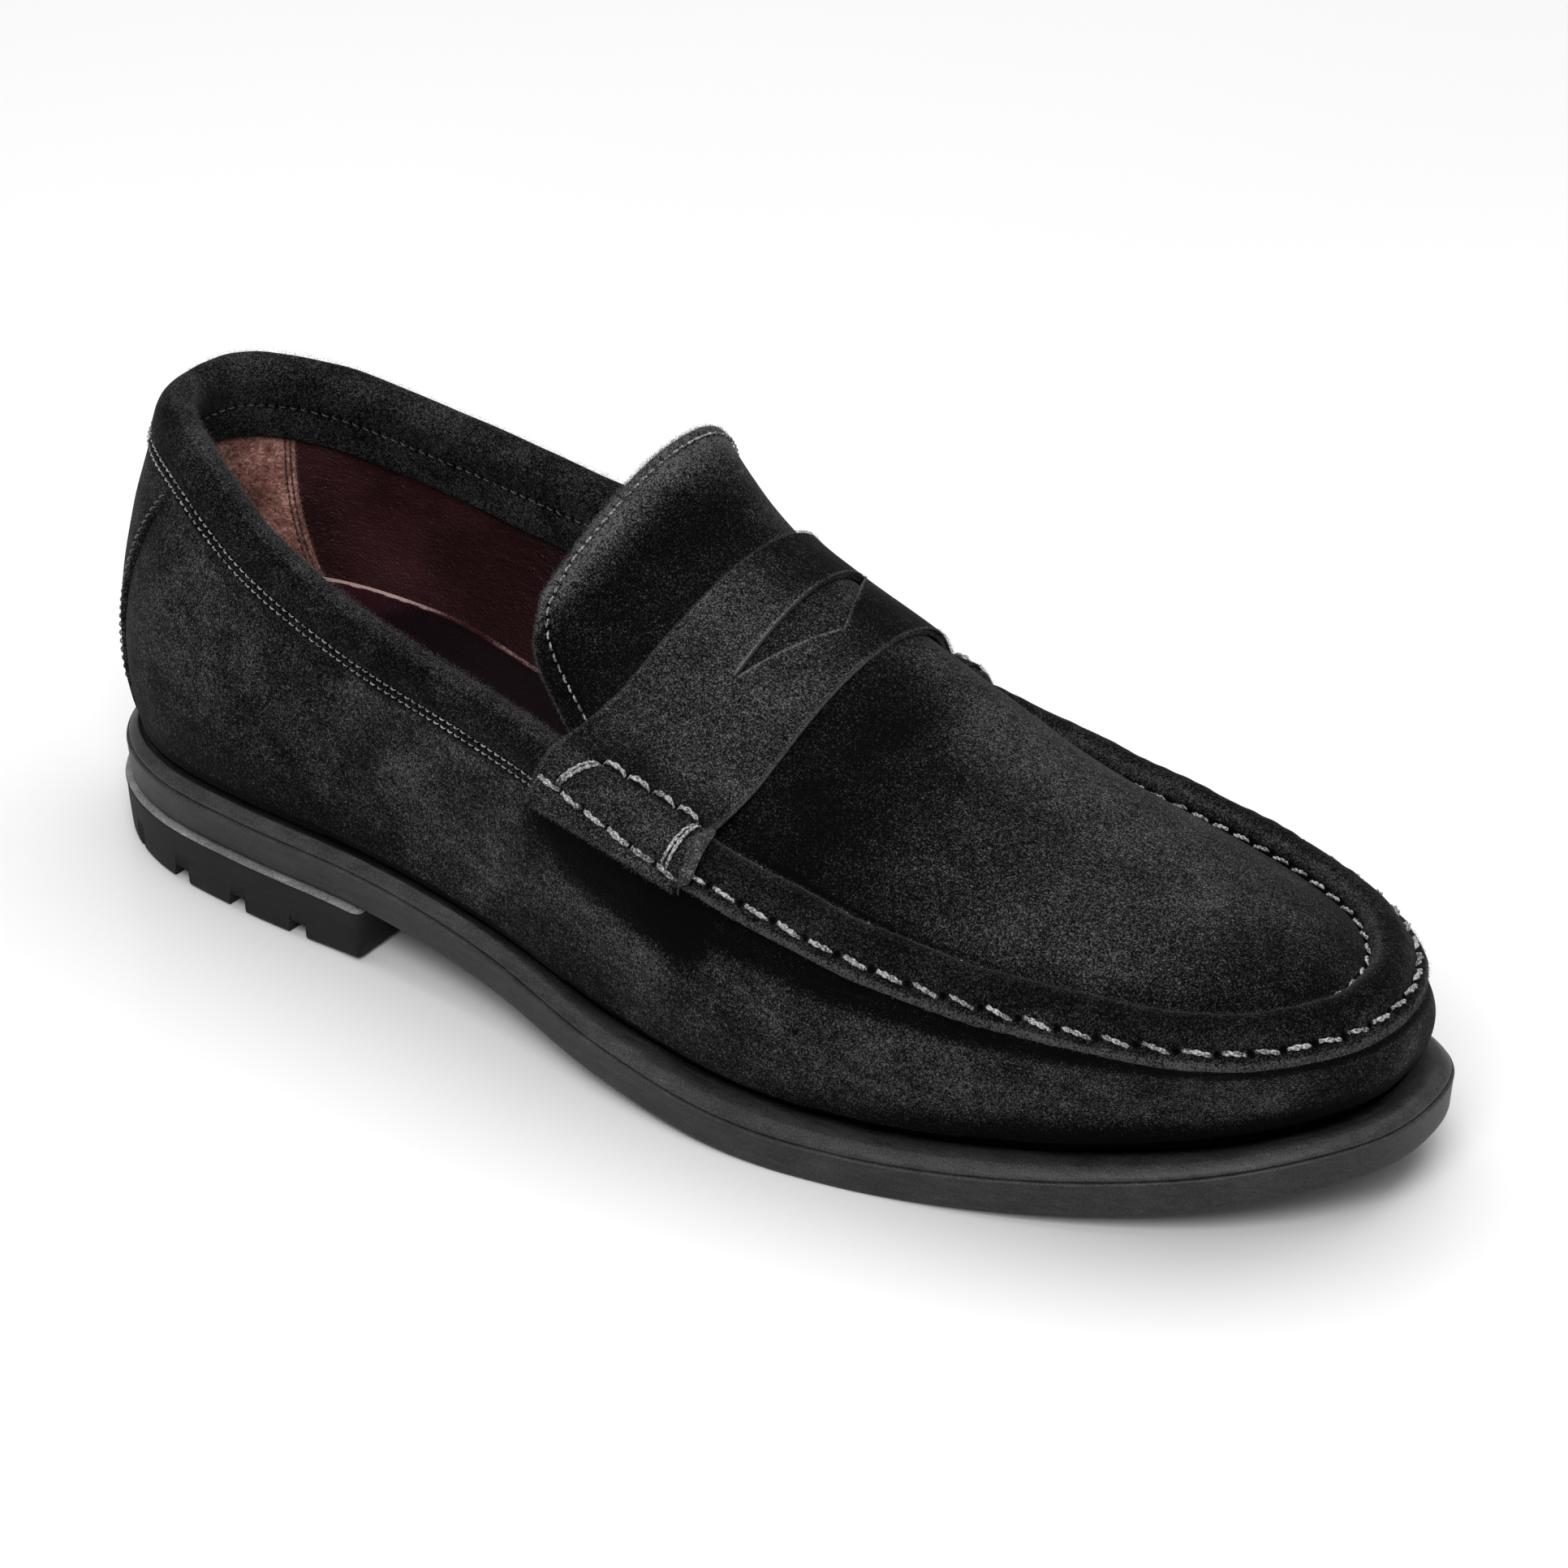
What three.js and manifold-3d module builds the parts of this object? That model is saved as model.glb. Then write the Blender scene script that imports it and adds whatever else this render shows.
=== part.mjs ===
// Penny loafer, right foot, men's size about EU 42-43.
// Millimetres. +X points to the toe, +Y to the inner (medial) side, +Z up.
// The origin is on the ground under the middle of the shoe's bounding box.
//
// Every part of the shoe is drawn from one closed loop of stations. Station 0 is the middle of
// the heel's back, stations 1 to 11 run along the outer (lateral) side, 12 is the tip of the
// toe and 13 to 23 run back along the inner side.

import * as THREE from 'three';
import { mergeVertices } from 'three/addons/utils/BufferGeometryUtils.js';
import Module from 'manifold-3d';

const wasm = await Module();
wasm.setup();

// ---------------------------------------------------------------- driving dimensions

const STATIONS = 24;
const TOE_STATION = 12;
const GAP = 0.3;               // clearance between pieces that touch

const OUTSOLE_THICK = 7.4;
const WELT_THICK = 2.7;
const WELT_BEVEL = 2.4;
const WELT_WIDTH = 15;
const HEEL_STATIONS = 3.95;    // the heel block ends in its breast at this station
const INSOLE_THICK = 2;
const NAIL_HEAD_ROOM = 1.4;    // room for the nail heads under the heel of the foam pad
const SOCK_THICK = 1.2;

const SUEDE = 1.4;             // thickness of the suede
const STIFFENER = 1;           // heel counter and toe puff
const LINING = 1;              // thickness of the lining leather
const BINDING = 1.2;           // thickness of the collar's folded suede
const LASTING_MARGIN = 11;     // width of upper turned under the insole
const COLLAR_OUTSIDE = 10;     // depth of the collar band outside the shoe
const COLLAR_INSIDE = 15;      // depth of the collar band inside the shoe
const THREAD = 0.45;           // radius of the heavy sewing thread

const STRAP_FROM = 2.5;        // strap's rear edge, in rows of the apron
const STRAP_TO = 4.4;          // strap's front edge
const COLLAR_FROM = 18.55;     // collar's ends, in stations
const COLLAR_TO = 29.45;
const RIDGE_FROM = 5.75;
const RIDGE_TO = 18.25;

// Plan of the sole's edge at each station: x, y.
const SOLE_EDGE = [
  [-150, 1], [-142.5, -18.5], [-125, -31], [-99, -36.5], [-68, -39], [-34, -44],
  [1, -53], [35, -57], [70, -52], [104, -41.5], [131, -27], [147, -9],
  [150, 9], [144.5, 26], [127, 39], [99, 47.5], [64, 50], [29, 44],
  [-1, 34.5], [-36, 28.5], [-70, 30], [-100, 33.5], [-126, 31], [-143, 20],
];

// Crest line: the collar's fold round the opening, and the raised seam round the toe.
const CREST = [
  [-138.5, 2, 95.5], [-132.5, -11.5, 96], [-117.5, -21.5, 93.5], [-95.5, -30.5, 84.5],
  [-67, -36.5, 76.5], [-35, -41, 71.5], [-1, -45.5, 66.5], [33, -46.5, 59],
  [67, -46.5, 54], [101, -41, 51.5], [126.5, -31, 50.2], [139.8, -15.5, 50.3],
  [141.7, -0.5, 50.6], [135.5, 13.5, 50], [122, 25, 50], [99, 31.5, 52.2],
  [66, 34, 55.6], [32, 35, 60], [-1, 36.5, 63.5], [-36, 39.5, 73.5],
  [-69, 36.5, 80.5], [-98, 33, 86.2], [-121.5, 28, 91], [-135.5, 16.5, 94.5],
];

// Height of the outsole's underside every 30 mm from the heel to the toe.
const UNDERSIDE = [13, 13, 13, 12, 8.7, 4, 0.7, 0, 2, 6, 11.5];

// How far the upper's widest line stands inside the sole's edge, at each station. Below zero
// it overhangs the edge, as it does round the heel and over the inner waist.
const BELLY_INSET = [
  1.8, 1.8, 1, 0.5, 1, 2, 2.5, 3, 3, 3, 3, 3.5,
  4, 4, 4, 4, 3.5, 1, -4, -6, -4, -1.5, 0.5, 1.5,
];

// Middle line of the tongue and apron, row by row from the tongue's tip to the toe.
const APRON_CREST = [
  [-20.5, 6, 111.5], [-12, 6, 103.3], [-4, 5.5, 96], [6, 5, 91.7], [23, 4, 85],
  [41, 1.5, 77.8], [60, -2, 70.7], [79, -4.5, 65.3], [101, -5.5, 59.8], [118, -5, 55.7],
  [130, -4, 52.2], [134.5, -3, 49.8], [137.5, -1.5, 47.3],
];

// The tongue's free side edges, rows 0 to 2, outer side and inner side.
const TONGUE_OUTER_EDGE = [[-30, -26.5, 88.5], [-28, -31.5, 79], [-20, -35, 70.5]];
const TONGUE_INNER_EDGE = [[-28, 35.5, 89.5], [-26, 35.5, 80], [-18, 35.5, 72]];
const TONGUE_ROWS = 3;
const LAST_ROW = 12;
const APRON_START = 5.85;      // station where the apron's edge meets the raised seam
const STATIONS_PER_ROW = 0.622;

// ---------------------------------------------------------------- curves

const vec = (x, y, z = 0) => new THREE.Vector3(x, y, z);
const UP = vec(0, 0, 1);

function curveThrough(points, closed) {
  return new THREE.CatmullRomCurve3(points.map((p) => vec(...p)), closed, 'catmullrom', 0.5);
}

const soleEdgeCurve = curveThrough(SOLE_EDGE, true);
const crestCurve = curveThrough(CREST, true);

const turn = (station) => ((station / STATIONS) % 1 + 1) % 1;
const soleEdge = (station) => soleEdgeCurve.getPoint(turn(station));
const crest = (station) => crestCurve.getPoint(turn(station));

// Smooth value between evenly spaced numbers, index running from 0.
function smoothValue(values, index, closed = false) {
  const n = values.length;
  const pick = (i) => (closed ? values[((i % n) + n) % n] : values[Math.min(Math.max(i, 0), n - 1)]);
  const i = Math.floor(index);
  const f = index - i;
  const [a, b, c, d] = [pick(i - 1), pick(i), pick(i + 1), pick(i + 2)];
  const curve = (2 * a - 5 * b + 4 * c - d) * f * f + (3 * b - 3 * c + d - a) * f * f * f;
  return b + 0.5 * ((c - a) * f + curve);
}

function ramp(from, to, value) {
  const f = Math.min(Math.max((value - from) / (to - from), 0), 1);
  return f * f * (3 - 2 * f);
}

// Level direction that points out of a closed curve at a station.
function outward(curve, station) {
  const step = 0.02;
  const ahead = curve(station + step);
  const behind = curve(station - step);
  return vec(-(ahead.y - behind.y), ahead.x - behind.x).normalize().negate();
}

const underside = (x) => {
  const index = Math.min(Math.max((x + 150) / 30, 0), UNDERSIDE.length - 1.001);
  return Math.max(smoothValue(UNDERSIDE, index), 0);
};
const soleTop = (x) => underside(x) + OUTSOLE_THICK;

// Point on the sole's edge moved inward, at a height above the outsole's top.
function soleInset(station, inset, height) {
  const point = soleEdge(station).addScaledVector(outward(soleEdge, station), -inset);
  point.z = soleTop(point.x) + height;
  return point;
}

// ---------------------------------------------------------------- the upper's surface

// 0 round the opening, 1 round the toe where the wall ends under the raised seam.
const frontness = (station) => {
  const s = ((station % STATIONS) + STATIONS) % STATIONS;
  return ramp(5.4, 6.4, s) * (1 - ramp(17.6, 18.6, s));
};

const featherInset = (station) => 3.4 + 4.2 * ramp(-60, 40, soleEdge(station).x);
const FEATHER_HEIGHT = WELT_THICK + 2 * GAP;
const BELLY_HEIGHT = 0.45;     // the wall bulges most at this share of its height

function wallTop(station) {
  const front = frontness(station);
  const point = crest(station).addScaledVector(outward(crest, station), 4.2 * front);
  point.z -= 6 * front;
  return point;
}

// Outer face of the wall: height 0 at the sole, 1 at its top edge.
function wallFace(station, height) {
  const foot = soleInset(station, featherInset(station), FEATHER_HEIGHT);
  const top = wallTop(station);
  const belly = soleInset(station, smoothValue(BELLY_INSET, station, true), 0);
  belly.z = (1 - BELLY_HEIGHT) * foot.z + BELLY_HEIGHT * top.z;
  const h = height;
  return vec(0, 0)
    .addScaledVector(foot, (1 - h) * (1 - 2 * h))
    .addScaledVector(belly, 4 * h * (1 - h))
    .addScaledVector(top, h * (2 * h - 1));
}

function wallNormal(station, height) {
  const step = 0.03;
  const along = wallFace(station + step, height).sub(wallFace(station - step, height));
  const rise = wallFace(station, height + step).sub(wallFace(station, height - step));
  return along.cross(rise).normalize();
}

const wallAt = (station, height, offset) =>
  wallFace(station, height).addScaledVector(wallNormal(station, height), offset);

// The height value that lies a number of millimetres below the wall's top.
const wallRise = (station) => wallTop(station).z - wallFace(station, 0).z;
const below = (station, drop) => 1 - drop / wallRise(station);

// Point beside the crest line: e outward, h up.
const besideCrest = (station, e, h) =>
  crest(station).addScaledVector(outward(crest, station), e).addScaledVector(UP, h);

// ---------------------------------------------------------------- the apron's surface

const APRON_EDGE = [-3.5, -3.5];
const apronStation = (row) => APRON_START + (row - TONGUE_ROWS) * STATIONS_PER_ROW;
const onOtherSide = (station) => STATIONS - 0.1 - station;

function edgeCurve(tonguePoints, side) {
  const joined = [3, 4, 5].map((row) => besideCrest(side(apronStation(row)), ...APRON_EDGE));
  return curveThrough([...tonguePoints, ...joined], false);
}

const sameSide = (station) => station;
const outerEdge = edgeCurve(TONGUE_OUTER_EDGE, sameSide);
const innerEdge = edgeCurve(TONGUE_INNER_EDGE, onOtherSide);
const apronCrest = curveThrough(APRON_CREST, false);

function apronEdge(row, curve, side) {
  if (row < TONGUE_ROWS) return curve.getPoint(row / 5);
  return besideCrest(side(apronStation(row)), ...APRON_EDGE);
}

// Top face of the tongue and apron: across runs from -1 (outer side) to 1 (inner side).
function apronFace(row, across) {
  const a = apronEdge(row, outerEdge, sameSide);
  const b = apronEdge(row, innerEdge, onOtherSide);
  const rise = apronCrest.getPoint(Math.min(row / LAST_ROW, 1)).sub(a.clone().lerp(b, 0.5));
  const arch = 1 - Math.abs(across) ** 2.2;
  return a.lerp(b, (across + 1) / 2).addScaledVector(rise, arch);
}

function apronAt(row, across, offset) {
  const step = 0.02;
  const along = apronFace(row + step, across).sub(apronFace(Math.max(row - step, 0), across));
  const over = apronFace(row, across + step).sub(apronFace(row, across - step));
  return apronFace(row, across).addScaledVector(along.cross(over).normalize(), offset);
}

// ---------------------------------------------------------------- solids

const steps = (from, to, count) =>
  Array.from({ length: count + 1 }, (_, i) => from + ((to - from) * i) / count);

// Closed solid between two grids of points of the same size. "face" is its outer side. A ring
// closes on itself along the first index.
function skin(face, back, ring = false) {
  const rows = face.length;
  const columns = face[0].length;
  const positions = [...face.flat(), ...back.flat()].flatMap((p) => [p.x, p.y, p.z]);
  const triangles = [];
  const f = (i, j) => (i % rows) * columns + j;
  const b = (i, j) => f(i, j) + rows * columns;
  const quad = (p, q, r, s) => triangles.push(p, q, r, p, r, s);
  const spans = ring ? rows : rows - 1;
  for (let i = 0; i < spans; i += 1) {
    for (let j = 0; j < columns - 1; j += 1) {
      quad(f(i, j), f(i + 1, j), f(i + 1, j + 1), f(i, j + 1));
      quad(b(i, j), b(i, j + 1), b(i + 1, j + 1), b(i + 1, j));
    }
    quad(f(i, 0), b(i, 0), b(i + 1, 0), f(i + 1, 0));
    quad(f(i, columns - 1), f(i + 1, columns - 1), b(i + 1, columns - 1), b(i, columns - 1));
  }
  if (!ring) {
    const last = rows - 1;
    for (let j = 0; j < columns - 1; j += 1) {
      quad(f(0, j), f(0, j + 1), b(0, j + 1), b(0, j));
      quad(f(last, j), b(last, j), b(last, j + 1), f(last, j + 1));
    }
  }
  return weld(positions, triangles);
}

// Joins equal points and drops the triangles that this leaves without an area. The result is
// turned inside out if its volume came out negative.
function weld(positions, triangles) {
  let geometry = new THREE.BufferGeometry();
  geometry.setAttribute('position', new THREE.Float32BufferAttribute(positions, 3));
  geometry.setIndex(triangles);
  geometry = mergeVertices(geometry, 1e-4);
  const index = geometry.index.array;
  const kept = [];
  for (let i = 0; i < index.length; i += 3) {
    const [p, q, r] = [index[i], index[i + 1], index[i + 2]];
    if (p !== q && q !== r && r !== p) kept.push(p, q, r);
  }
  if (volume(geometry.attributes.position, kept) < 0) kept.reverse();
  geometry.setIndex(kept);
  return geometry;
}

function volume(position, triangles) {
  let total = 0;
  const [p, q, r] = [vec(0, 0), vec(0, 0), vec(0, 0)];
  for (let i = 0; i < triangles.length; i += 3) {
    p.fromBufferAttribute(position, triangles[i]);
    q.fromBufferAttribute(position, triangles[i + 1]);
    r.fromBufferAttribute(position, triangles[i + 2]);
    total += p.dot(q.cross(r)) / 6;
  }
  return total;
}

// A piece of the wall's thickness: stations by heights, between two offsets from its face.
function wallSkin(stations, heights, outerOffset, innerOffset, ring = false) {
  const grid = (offset) => stations.map((s) => heights(s).map((h) => wallAt(s, h, offset)));
  return skin(grid(outerOffset), grid(innerOffset), ring);
}

// Slab under the foot, from one station to another, with both sides paired across the shoe.
function slab(stations, point, low, high, across = [0, 1]) {
  const row = (s, height) => {
    const outer = point(s);
    const inner = point(STATIONS - s);
    return across.map((f) => {
      const p = outer.clone().lerp(inner, f);
      p.z = height(p.x, Math.abs(2 * f - 1));
      return p;
    });
  };
  return skin(stations.map((s) => row(s, high)), stations.map((s) => row(s, low)));
}

// Tube along a path of points. A closed path joins its two ends.
function tube(points, radius, closed = false, sides = 4) {
  const path = curveThrough(points, closed);
  const count = closed ? points.length : points.length - 1;
  const frames = path.computeFrenetFrames(count, closed);
  const rings = steps(0, 1, count).map((t, i) => {
    const centre = path.getPointAt(t);
    return steps(0, 2 * Math.PI, sides).map((a) => centre.clone()
      .addScaledVector(frames.normals[i], radius * Math.cos(a))
      .addScaledVector(frames.binormals[i], radius * Math.sin(a)));
  });
  if (closed) rings.pop();
  return tubeSkin(rings, closed);
}

function tubeSkin(rings, closed) {
  const sides = rings[0].length - 1;
  const count = rings.length;
  const positions = rings.flatMap((ring) => ring.slice(0, sides)).flatMap((p) => [p.x, p.y, p.z]);
  const at = (i, j) => (i % count) * sides + (j % sides);
  const triangles = [];
  for (let i = 0; i < (closed ? count : count - 1); i += 1) {
    for (let j = 0; j < sides; j += 1) {
      triangles.push(at(i, j), at(i + 1, j), at(i + 1, j + 1));
      triangles.push(at(i, j), at(i + 1, j + 1), at(i, j + 1));
    }
  }
  for (let j = 1; !closed && j < sides - 1; j += 1) {
    triangles.push(at(0, 0), at(0, j), at(0, j + 1));
    triangles.push(at(count - 1, 0), at(count - 1, j + 1), at(count - 1, j));
  }
  return weld(positions, triangles);
}

function toManifold(source) {
  const bare = source.clone();
  bare.deleteAttribute('normal');
  bare.deleteAttribute('uv');
  const geometry = mergeVertices(bare, 1e-4);
  return new wasm.Manifold(new wasm.Mesh({
    numProp: 3,
    vertProperties: new Float32Array(geometry.attributes.position.array),
    triVerts: new Uint32Array(geometry.index.array),
  }));
}

function cut(geometry, ...cutters) {
  const body = cutters.reduce((left, tool) => left.subtract(toManifold(tool)), toManifold(geometry));
  const mesh = body.getMesh();
  const result = new THREE.BufferGeometry();
  result.setAttribute('position', new THREE.Float32BufferAttribute(mesh.vertProperties, 3));
  result.setIndex([...mesh.triVerts]);
  return result;
}

// ---------------------------------------------------------------- the group and its finishes

const penny_loafer = new THREE.Group();

const FINISH = {
  suede: { color: 0x141416, roughness: 0.95, metalness: 0 },
  suedeEdge: { color: 0x1d1d20, roughness: 0.95, metalness: 0 },
  rubber: { color: 0x1b1b1c, roughness: 0.6, metalness: 0 },
  weltRubber: { color: 0x2c2c2e, roughness: 0.45, metalness: 0 },
  burgundy: { color: 0x35131a, roughness: 0.5, metalness: 0 },
  plum: { color: 0x3a1a2a, roughness: 0.4, metalness: 0 },
  nubuck: { color: 0x5d3a30, roughness: 0.9, metalness: 0 },
  thread: { color: 0x5a5a5c, roughness: 0.7, metalness: 0 },
  steel: { color: 0x9a9da1, roughness: 0.35, metalness: 1 },
  board: { color: 0xa08a68, roughness: 0.9, metalness: 0 },
  cork: { color: 0x8a6a45, roughness: 0.95, metalness: 0 },
  foam: { color: 0xc9c3b4, roughness: 0.95, metalness: 0 },
  stiffener: { color: 0xb8ae9c, roughness: 0.85, metalness: 0 },
};

function add(name, geometry, finish) {
  const flat = geometry.index ? geometry.toNonIndexed() : geometry;
  flat.computeVertexNormals();
  const mesh = new THREE.Mesh(flat, new THREE.MeshStandardMaterial(FINISH[finish]));
  mesh.name = name;
  penny_loafer.add(mesh);
}

// ---------------------------------------------------------------- sole

const allStations = steps(0, STATIONS - 1 / 3, 3 * STATIONS - 1);
const halfStations = steps(0, TOE_STATION, 3 * TOE_STATION);

const NAILS = [[-127, 0], [-112, -15], [-112, 14], [-90, -17], [-90, 14]];
const NAIL_RADIUS = 1.2;
const NAIL_HEAD = 2.6;
const NAIL_TIP_HEIGHT = 4;
const insoleTop = (x) => soleTop(x) + FEATHER_HEIGHT + SUEDE + GAP + INSOLE_THICK;

function nailHole([x, y]) {
  const length = 60;
  const hole = new THREE.CylinderGeometry(NAIL_RADIUS + GAP, NAIL_RADIUS + GAP, length, 10);
  return hole.rotateX(Math.PI / 2).translate(x, y, NAIL_TIP_HEIGHT - GAP + length / 2);
}

function makeOutsole() {
  const body = slab(halfStations, (s) => soleInset(s, 0, 0), (x) => underside(x), (x) => soleTop(x));
  add('outsole', cut(body, ...NAILS.map(nailHole)), 'rubber');
}

// Rim with a bevelled upper edge, standing on the outsole round the whole shoe.
function makeWelt() {
  const top = [[0, 1], [WELT_BEVEL, WELT_THICK], [WELT_WIDTH, WELT_THICK]];
  const base = [0, WELT_BEVEL, WELT_WIDTH];
  const upper = allStations.map((s) => top.map(([inset, h]) => soleInset(s, inset, h + GAP)));
  const lower = allStations.map((s) => base.map((inset) => soleInset(s, inset, GAP)));
  add('welt', skin(upper, lower, true), 'weltRubber');
}

// Heel block with four notches along each side of its tread.
const NOTCHES = [-134, -117.5, -101, -84.5];
const NOTCH_WIDTH = 4;
const NOTCH_DEPTH = 3;
const NOTCH_REACH = 12;        // how far a notch runs to each side of the line y = NOTCH_MIDDLE
const NOTCH_MIDDLE = 36;

function makeHeelBlock() {
  const stations = steps(0, HEEL_STATIONS, 12);
  const body = slab(stations, (s) => soleInset(s, 0.4, 0), () => 0, (x) => underside(x) - GAP);
  const notches = NOTCHES.flatMap((x) => [-NOTCH_MIDDLE, NOTCH_MIDDLE].map((y) =>
    new THREE.BoxGeometry(NOTCH_WIDTH, 2 * NOTCH_REACH, 2 * NOTCH_DEPTH).translate(x, y, 0)));
  add('heel_block', cut(body, ...notches, ...NAILS.map(nailHole)), 'rubber');
}

function makeNails() {
  NAILS.forEach(([x, y], i) => {
    const top = insoleTop(x) + GAP;
    const profile = [
      [0, NAIL_TIP_HEIGHT], [NAIL_RADIUS, NAIL_TIP_HEIGHT + 2], [NAIL_RADIUS, top],
      [NAIL_HEAD, top], [NAIL_HEAD, top + 0.6], [0, top + 0.8],
    ].map(([r, z]) => new THREE.Vector2(r, z));
    const nail = new THREE.LatheGeometry(profile, 10).rotateX(Math.PI / 2).translate(x, y, 0);
    nail.deleteAttribute('normal');
    nail.deleteAttribute('uv');
    add(`heel_nail_${i + 1}`, weld([...nail.attributes.position.array], [...nail.index.array]), 'steel');
  });
}

function makeInnerSole() {
  const boardBase = (x) => insoleTop(x) - INSOLE_THICK;
  const boardEdge = (s) => soleInset(s, featherInset(s) + SUEDE + 2 * GAP, 0);
  const board = slab(halfStations, boardEdge, boardBase, insoleTop);
  add('insole_board', cut(board, ...NAILS.map(nailHole)), 'board');

  const cavity = (s) => soleInset(s, featherInset(s) + LASTING_MARGIN + 2, 0);
  const corkTop = (x) => soleTop(x) + FEATHER_HEIGHT + SUEDE;
  const corkStations = steps(6.6, 11, 11);
  add('cork_filler', slab(corkStations, cavity, (x) => soleTop(x) + GAP, corkTop), 'cork');

  // The shank is a narrow spring-steel strip from the heel seat to the ball of the foot. Its
  // half width is a share of the sole's width.
  const shankStations = steps(2.8, 6.3, 10);
  const halfWidth = 0.085;
  const shankRow = (s, lift) => [-halfWidth, halfWidth].map((side) => {
    const p = soleInset(s, 0, 0).lerp(soleInset(STATIONS - s, 0, 0), 0.5 + side);
    p.z = soleTop(p.x) + lift;
    return p;
  });
  const shank = [2.8, 1.6].map((lift) => shankStations.map((s) => shankRow(s, lift)));
  add('shank', skin(...shank), 'steel');
}

// Footbed: a foam pad, thick under the heel and thin under the toes, and a leather sock over
// it. Both rise at their edges round the heel to make a cup.
const FOOTBED_ENDS = [0.2, 11.7];
const padThick = (x) => 1.6 + 6.4 * (1 - ramp(-95, -5, x));
const cup = (x, side) => 4.5 * (1 - ramp(-90, 20, x)) * side ** 3;

function makeFootbed() {
  const stations = steps(...FOOTBED_ENDS, 22);
  const edge = (s) => soleInset(s, featherInset(s) + SUEDE + STIFFENER + LINING + 5 * GAP, 0);
  const across = [0, 0.15, 0.5, 0.85, 1];
  const headRoom = (x) => (NAIL_HEAD_ROOM - GAP) * (1 - ramp(-85, -60, x));
  const padBase = (x) => insoleTop(x) + GAP + headRoom(x);
  const padTop = (x, side) => padBase(x) + padThick(x) + cup(x, side);
  add('footbed_foam', slab(stations, edge, padBase, padTop, across), 'foam');

  const sockBase = (x, side) => padTop(x, side) + GAP;
  const sockTop = (x, side) => sockBase(x, side) + SOCK_THICK;
  add('sock_liner', slab(stations, edge, sockBase, sockTop, across), 'plum');
}

// ---------------------------------------------------------------- upper

// The wall and everything that lines it share the same stations and heights, so that their
// facets lie parallel.
const WALL_STEPS = 60;
const wallStations = steps(0.03, STATIONS - 0.03, WALL_STEPS);
const wallHeights = (s) => [0.14, 0.32, 0.5, 0.68, 0.85, below(s, 3)];
const lowerHeights = (s) => wallHeights(s).slice(0, 4);

// Wall of the moccasin: one piece of suede from the heel's back seam round the toe and back.
// Its foot turns inward under the insole.
function makeWall() {
  const margin = (s, inset, lift) => soleInset(s, featherInset(s) + inset, FEATHER_HEIGHT + lift);
  const outer = wallStations.map((s) => [
    margin(s, LASTING_MARGIN, 0), margin(s, 0, 0), ...wallHeights(s).map((h) => wallAt(s, h, 0)),
  ]);
  const inner = wallStations.map((s) => [
    margin(s, LASTING_MARGIN, SUEDE), margin(s, SUEDE, SUEDE),
    ...wallHeights(s).map((h) => wallAt(s, h, -SUEDE)),
  ]);
  add('moccasin_wall', skin(outer, inner), 'suede');
}

// Stations of the wall on both sides of the heel's back seam, in one run.
const roundHeel = (count) => [
  ...wallStations.slice(-count),
  ...wallStations.slice(0, count).map((s) => s + STATIONS),
];

function makeStiffeners() {
  const outer = -SUEDE - GAP;
  const inner = outer - STIFFENER;
  add('heel_counter', wallSkin(roundHeel(9), lowerHeights, outer, inner), 'stiffener');
  const toe = wallStations.slice(24, 37);
  add('toe_puff', wallSkin(toe, lowerHeights, outer, inner), 'stiffener');
}

// The lining is sewn from an outer half, an inner half and a nubuck piece at the heel. The
// halves meet at the toe.
function makeLining() {
  const outer = -SUEDE - STIFFENER - 2 * GAP;
  const inner = outer - LINING;
  const half = WALL_STEPS / 2;
  const grip = 4;
  const seam = 0.04;
  const outerSide = [...wallStations.slice(grip, half), TOE_STATION - seam / 2];
  const innerSide = [TOE_STATION + seam / 2, ...wallStations.slice(half + 1, -grip)];
  const heel = roundHeel(grip);
  const back = [heel[0] - 1 / 4, ...heel, heel[heel.length - 1] + 1 / 4];
  add('lining_outer_side', wallSkin(outerSide, wallHeights, outer, inner), 'burgundy');
  add('lining_inner_side', wallSkin(innerSide, wallHeights, outer, inner), 'burgundy');
  add('heel_grip', wallSkin(back, wallHeights, outer, inner), 'nubuck');
}

// Suede binding folded over the opening's edge: a band outside, a roll on top, a band inside.
function makeCollar() {
  const out = GAP + BINDING;
  const inLining = -SUEDE - STIFFENER - LINING - 4 * GAP;
  const inFace = inLining - BINDING;
  const middle = -2;
  const station = steps(COLLAR_FROM, COLLAR_TO, 36);
  const drop = (s, d, offset) => wallAt(s, below(s, d), offset);
  const cap = (s, offset, lift) => wallAt(s, 1, offset).addScaledVector(UP, lift);
  const face = station.map((s) => [
    drop(s, COLLAR_OUTSIDE, out), drop(s, 6, out), drop(s, 2.6, out), cap(s, 0.4, -0.7),
    cap(s, middle, 0), cap(s, -4.4, -0.7), drop(s, 2.6, inFace), drop(s, 8, inFace),
    drop(s, COLLAR_INSIDE, inFace),
  ]);
  const back = station.map((s) => [
    drop(s, COLLAR_OUTSIDE, GAP), drop(s, 6, GAP), drop(s, 2.6, GAP), cap(s, -0.4, -2),
    cap(s, middle, -1.4), cap(s, -3.6, -2), drop(s, 2.6, inLining), drop(s, 8, inLining),
    drop(s, COLLAR_INSIDE, inLining),
  ]);
  add('collar_binding', skin(face, back), 'suede');
}

// Strip that covers the back seam. It widens towards the collar.
const stripHalfWidth = (height) => 0.9 + 0.65 * height;
const STRIP_LIFT = 0.7;        // the strip lies on the curved wall, just clear of its facets
const STRIP_THICK = 1;

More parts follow.
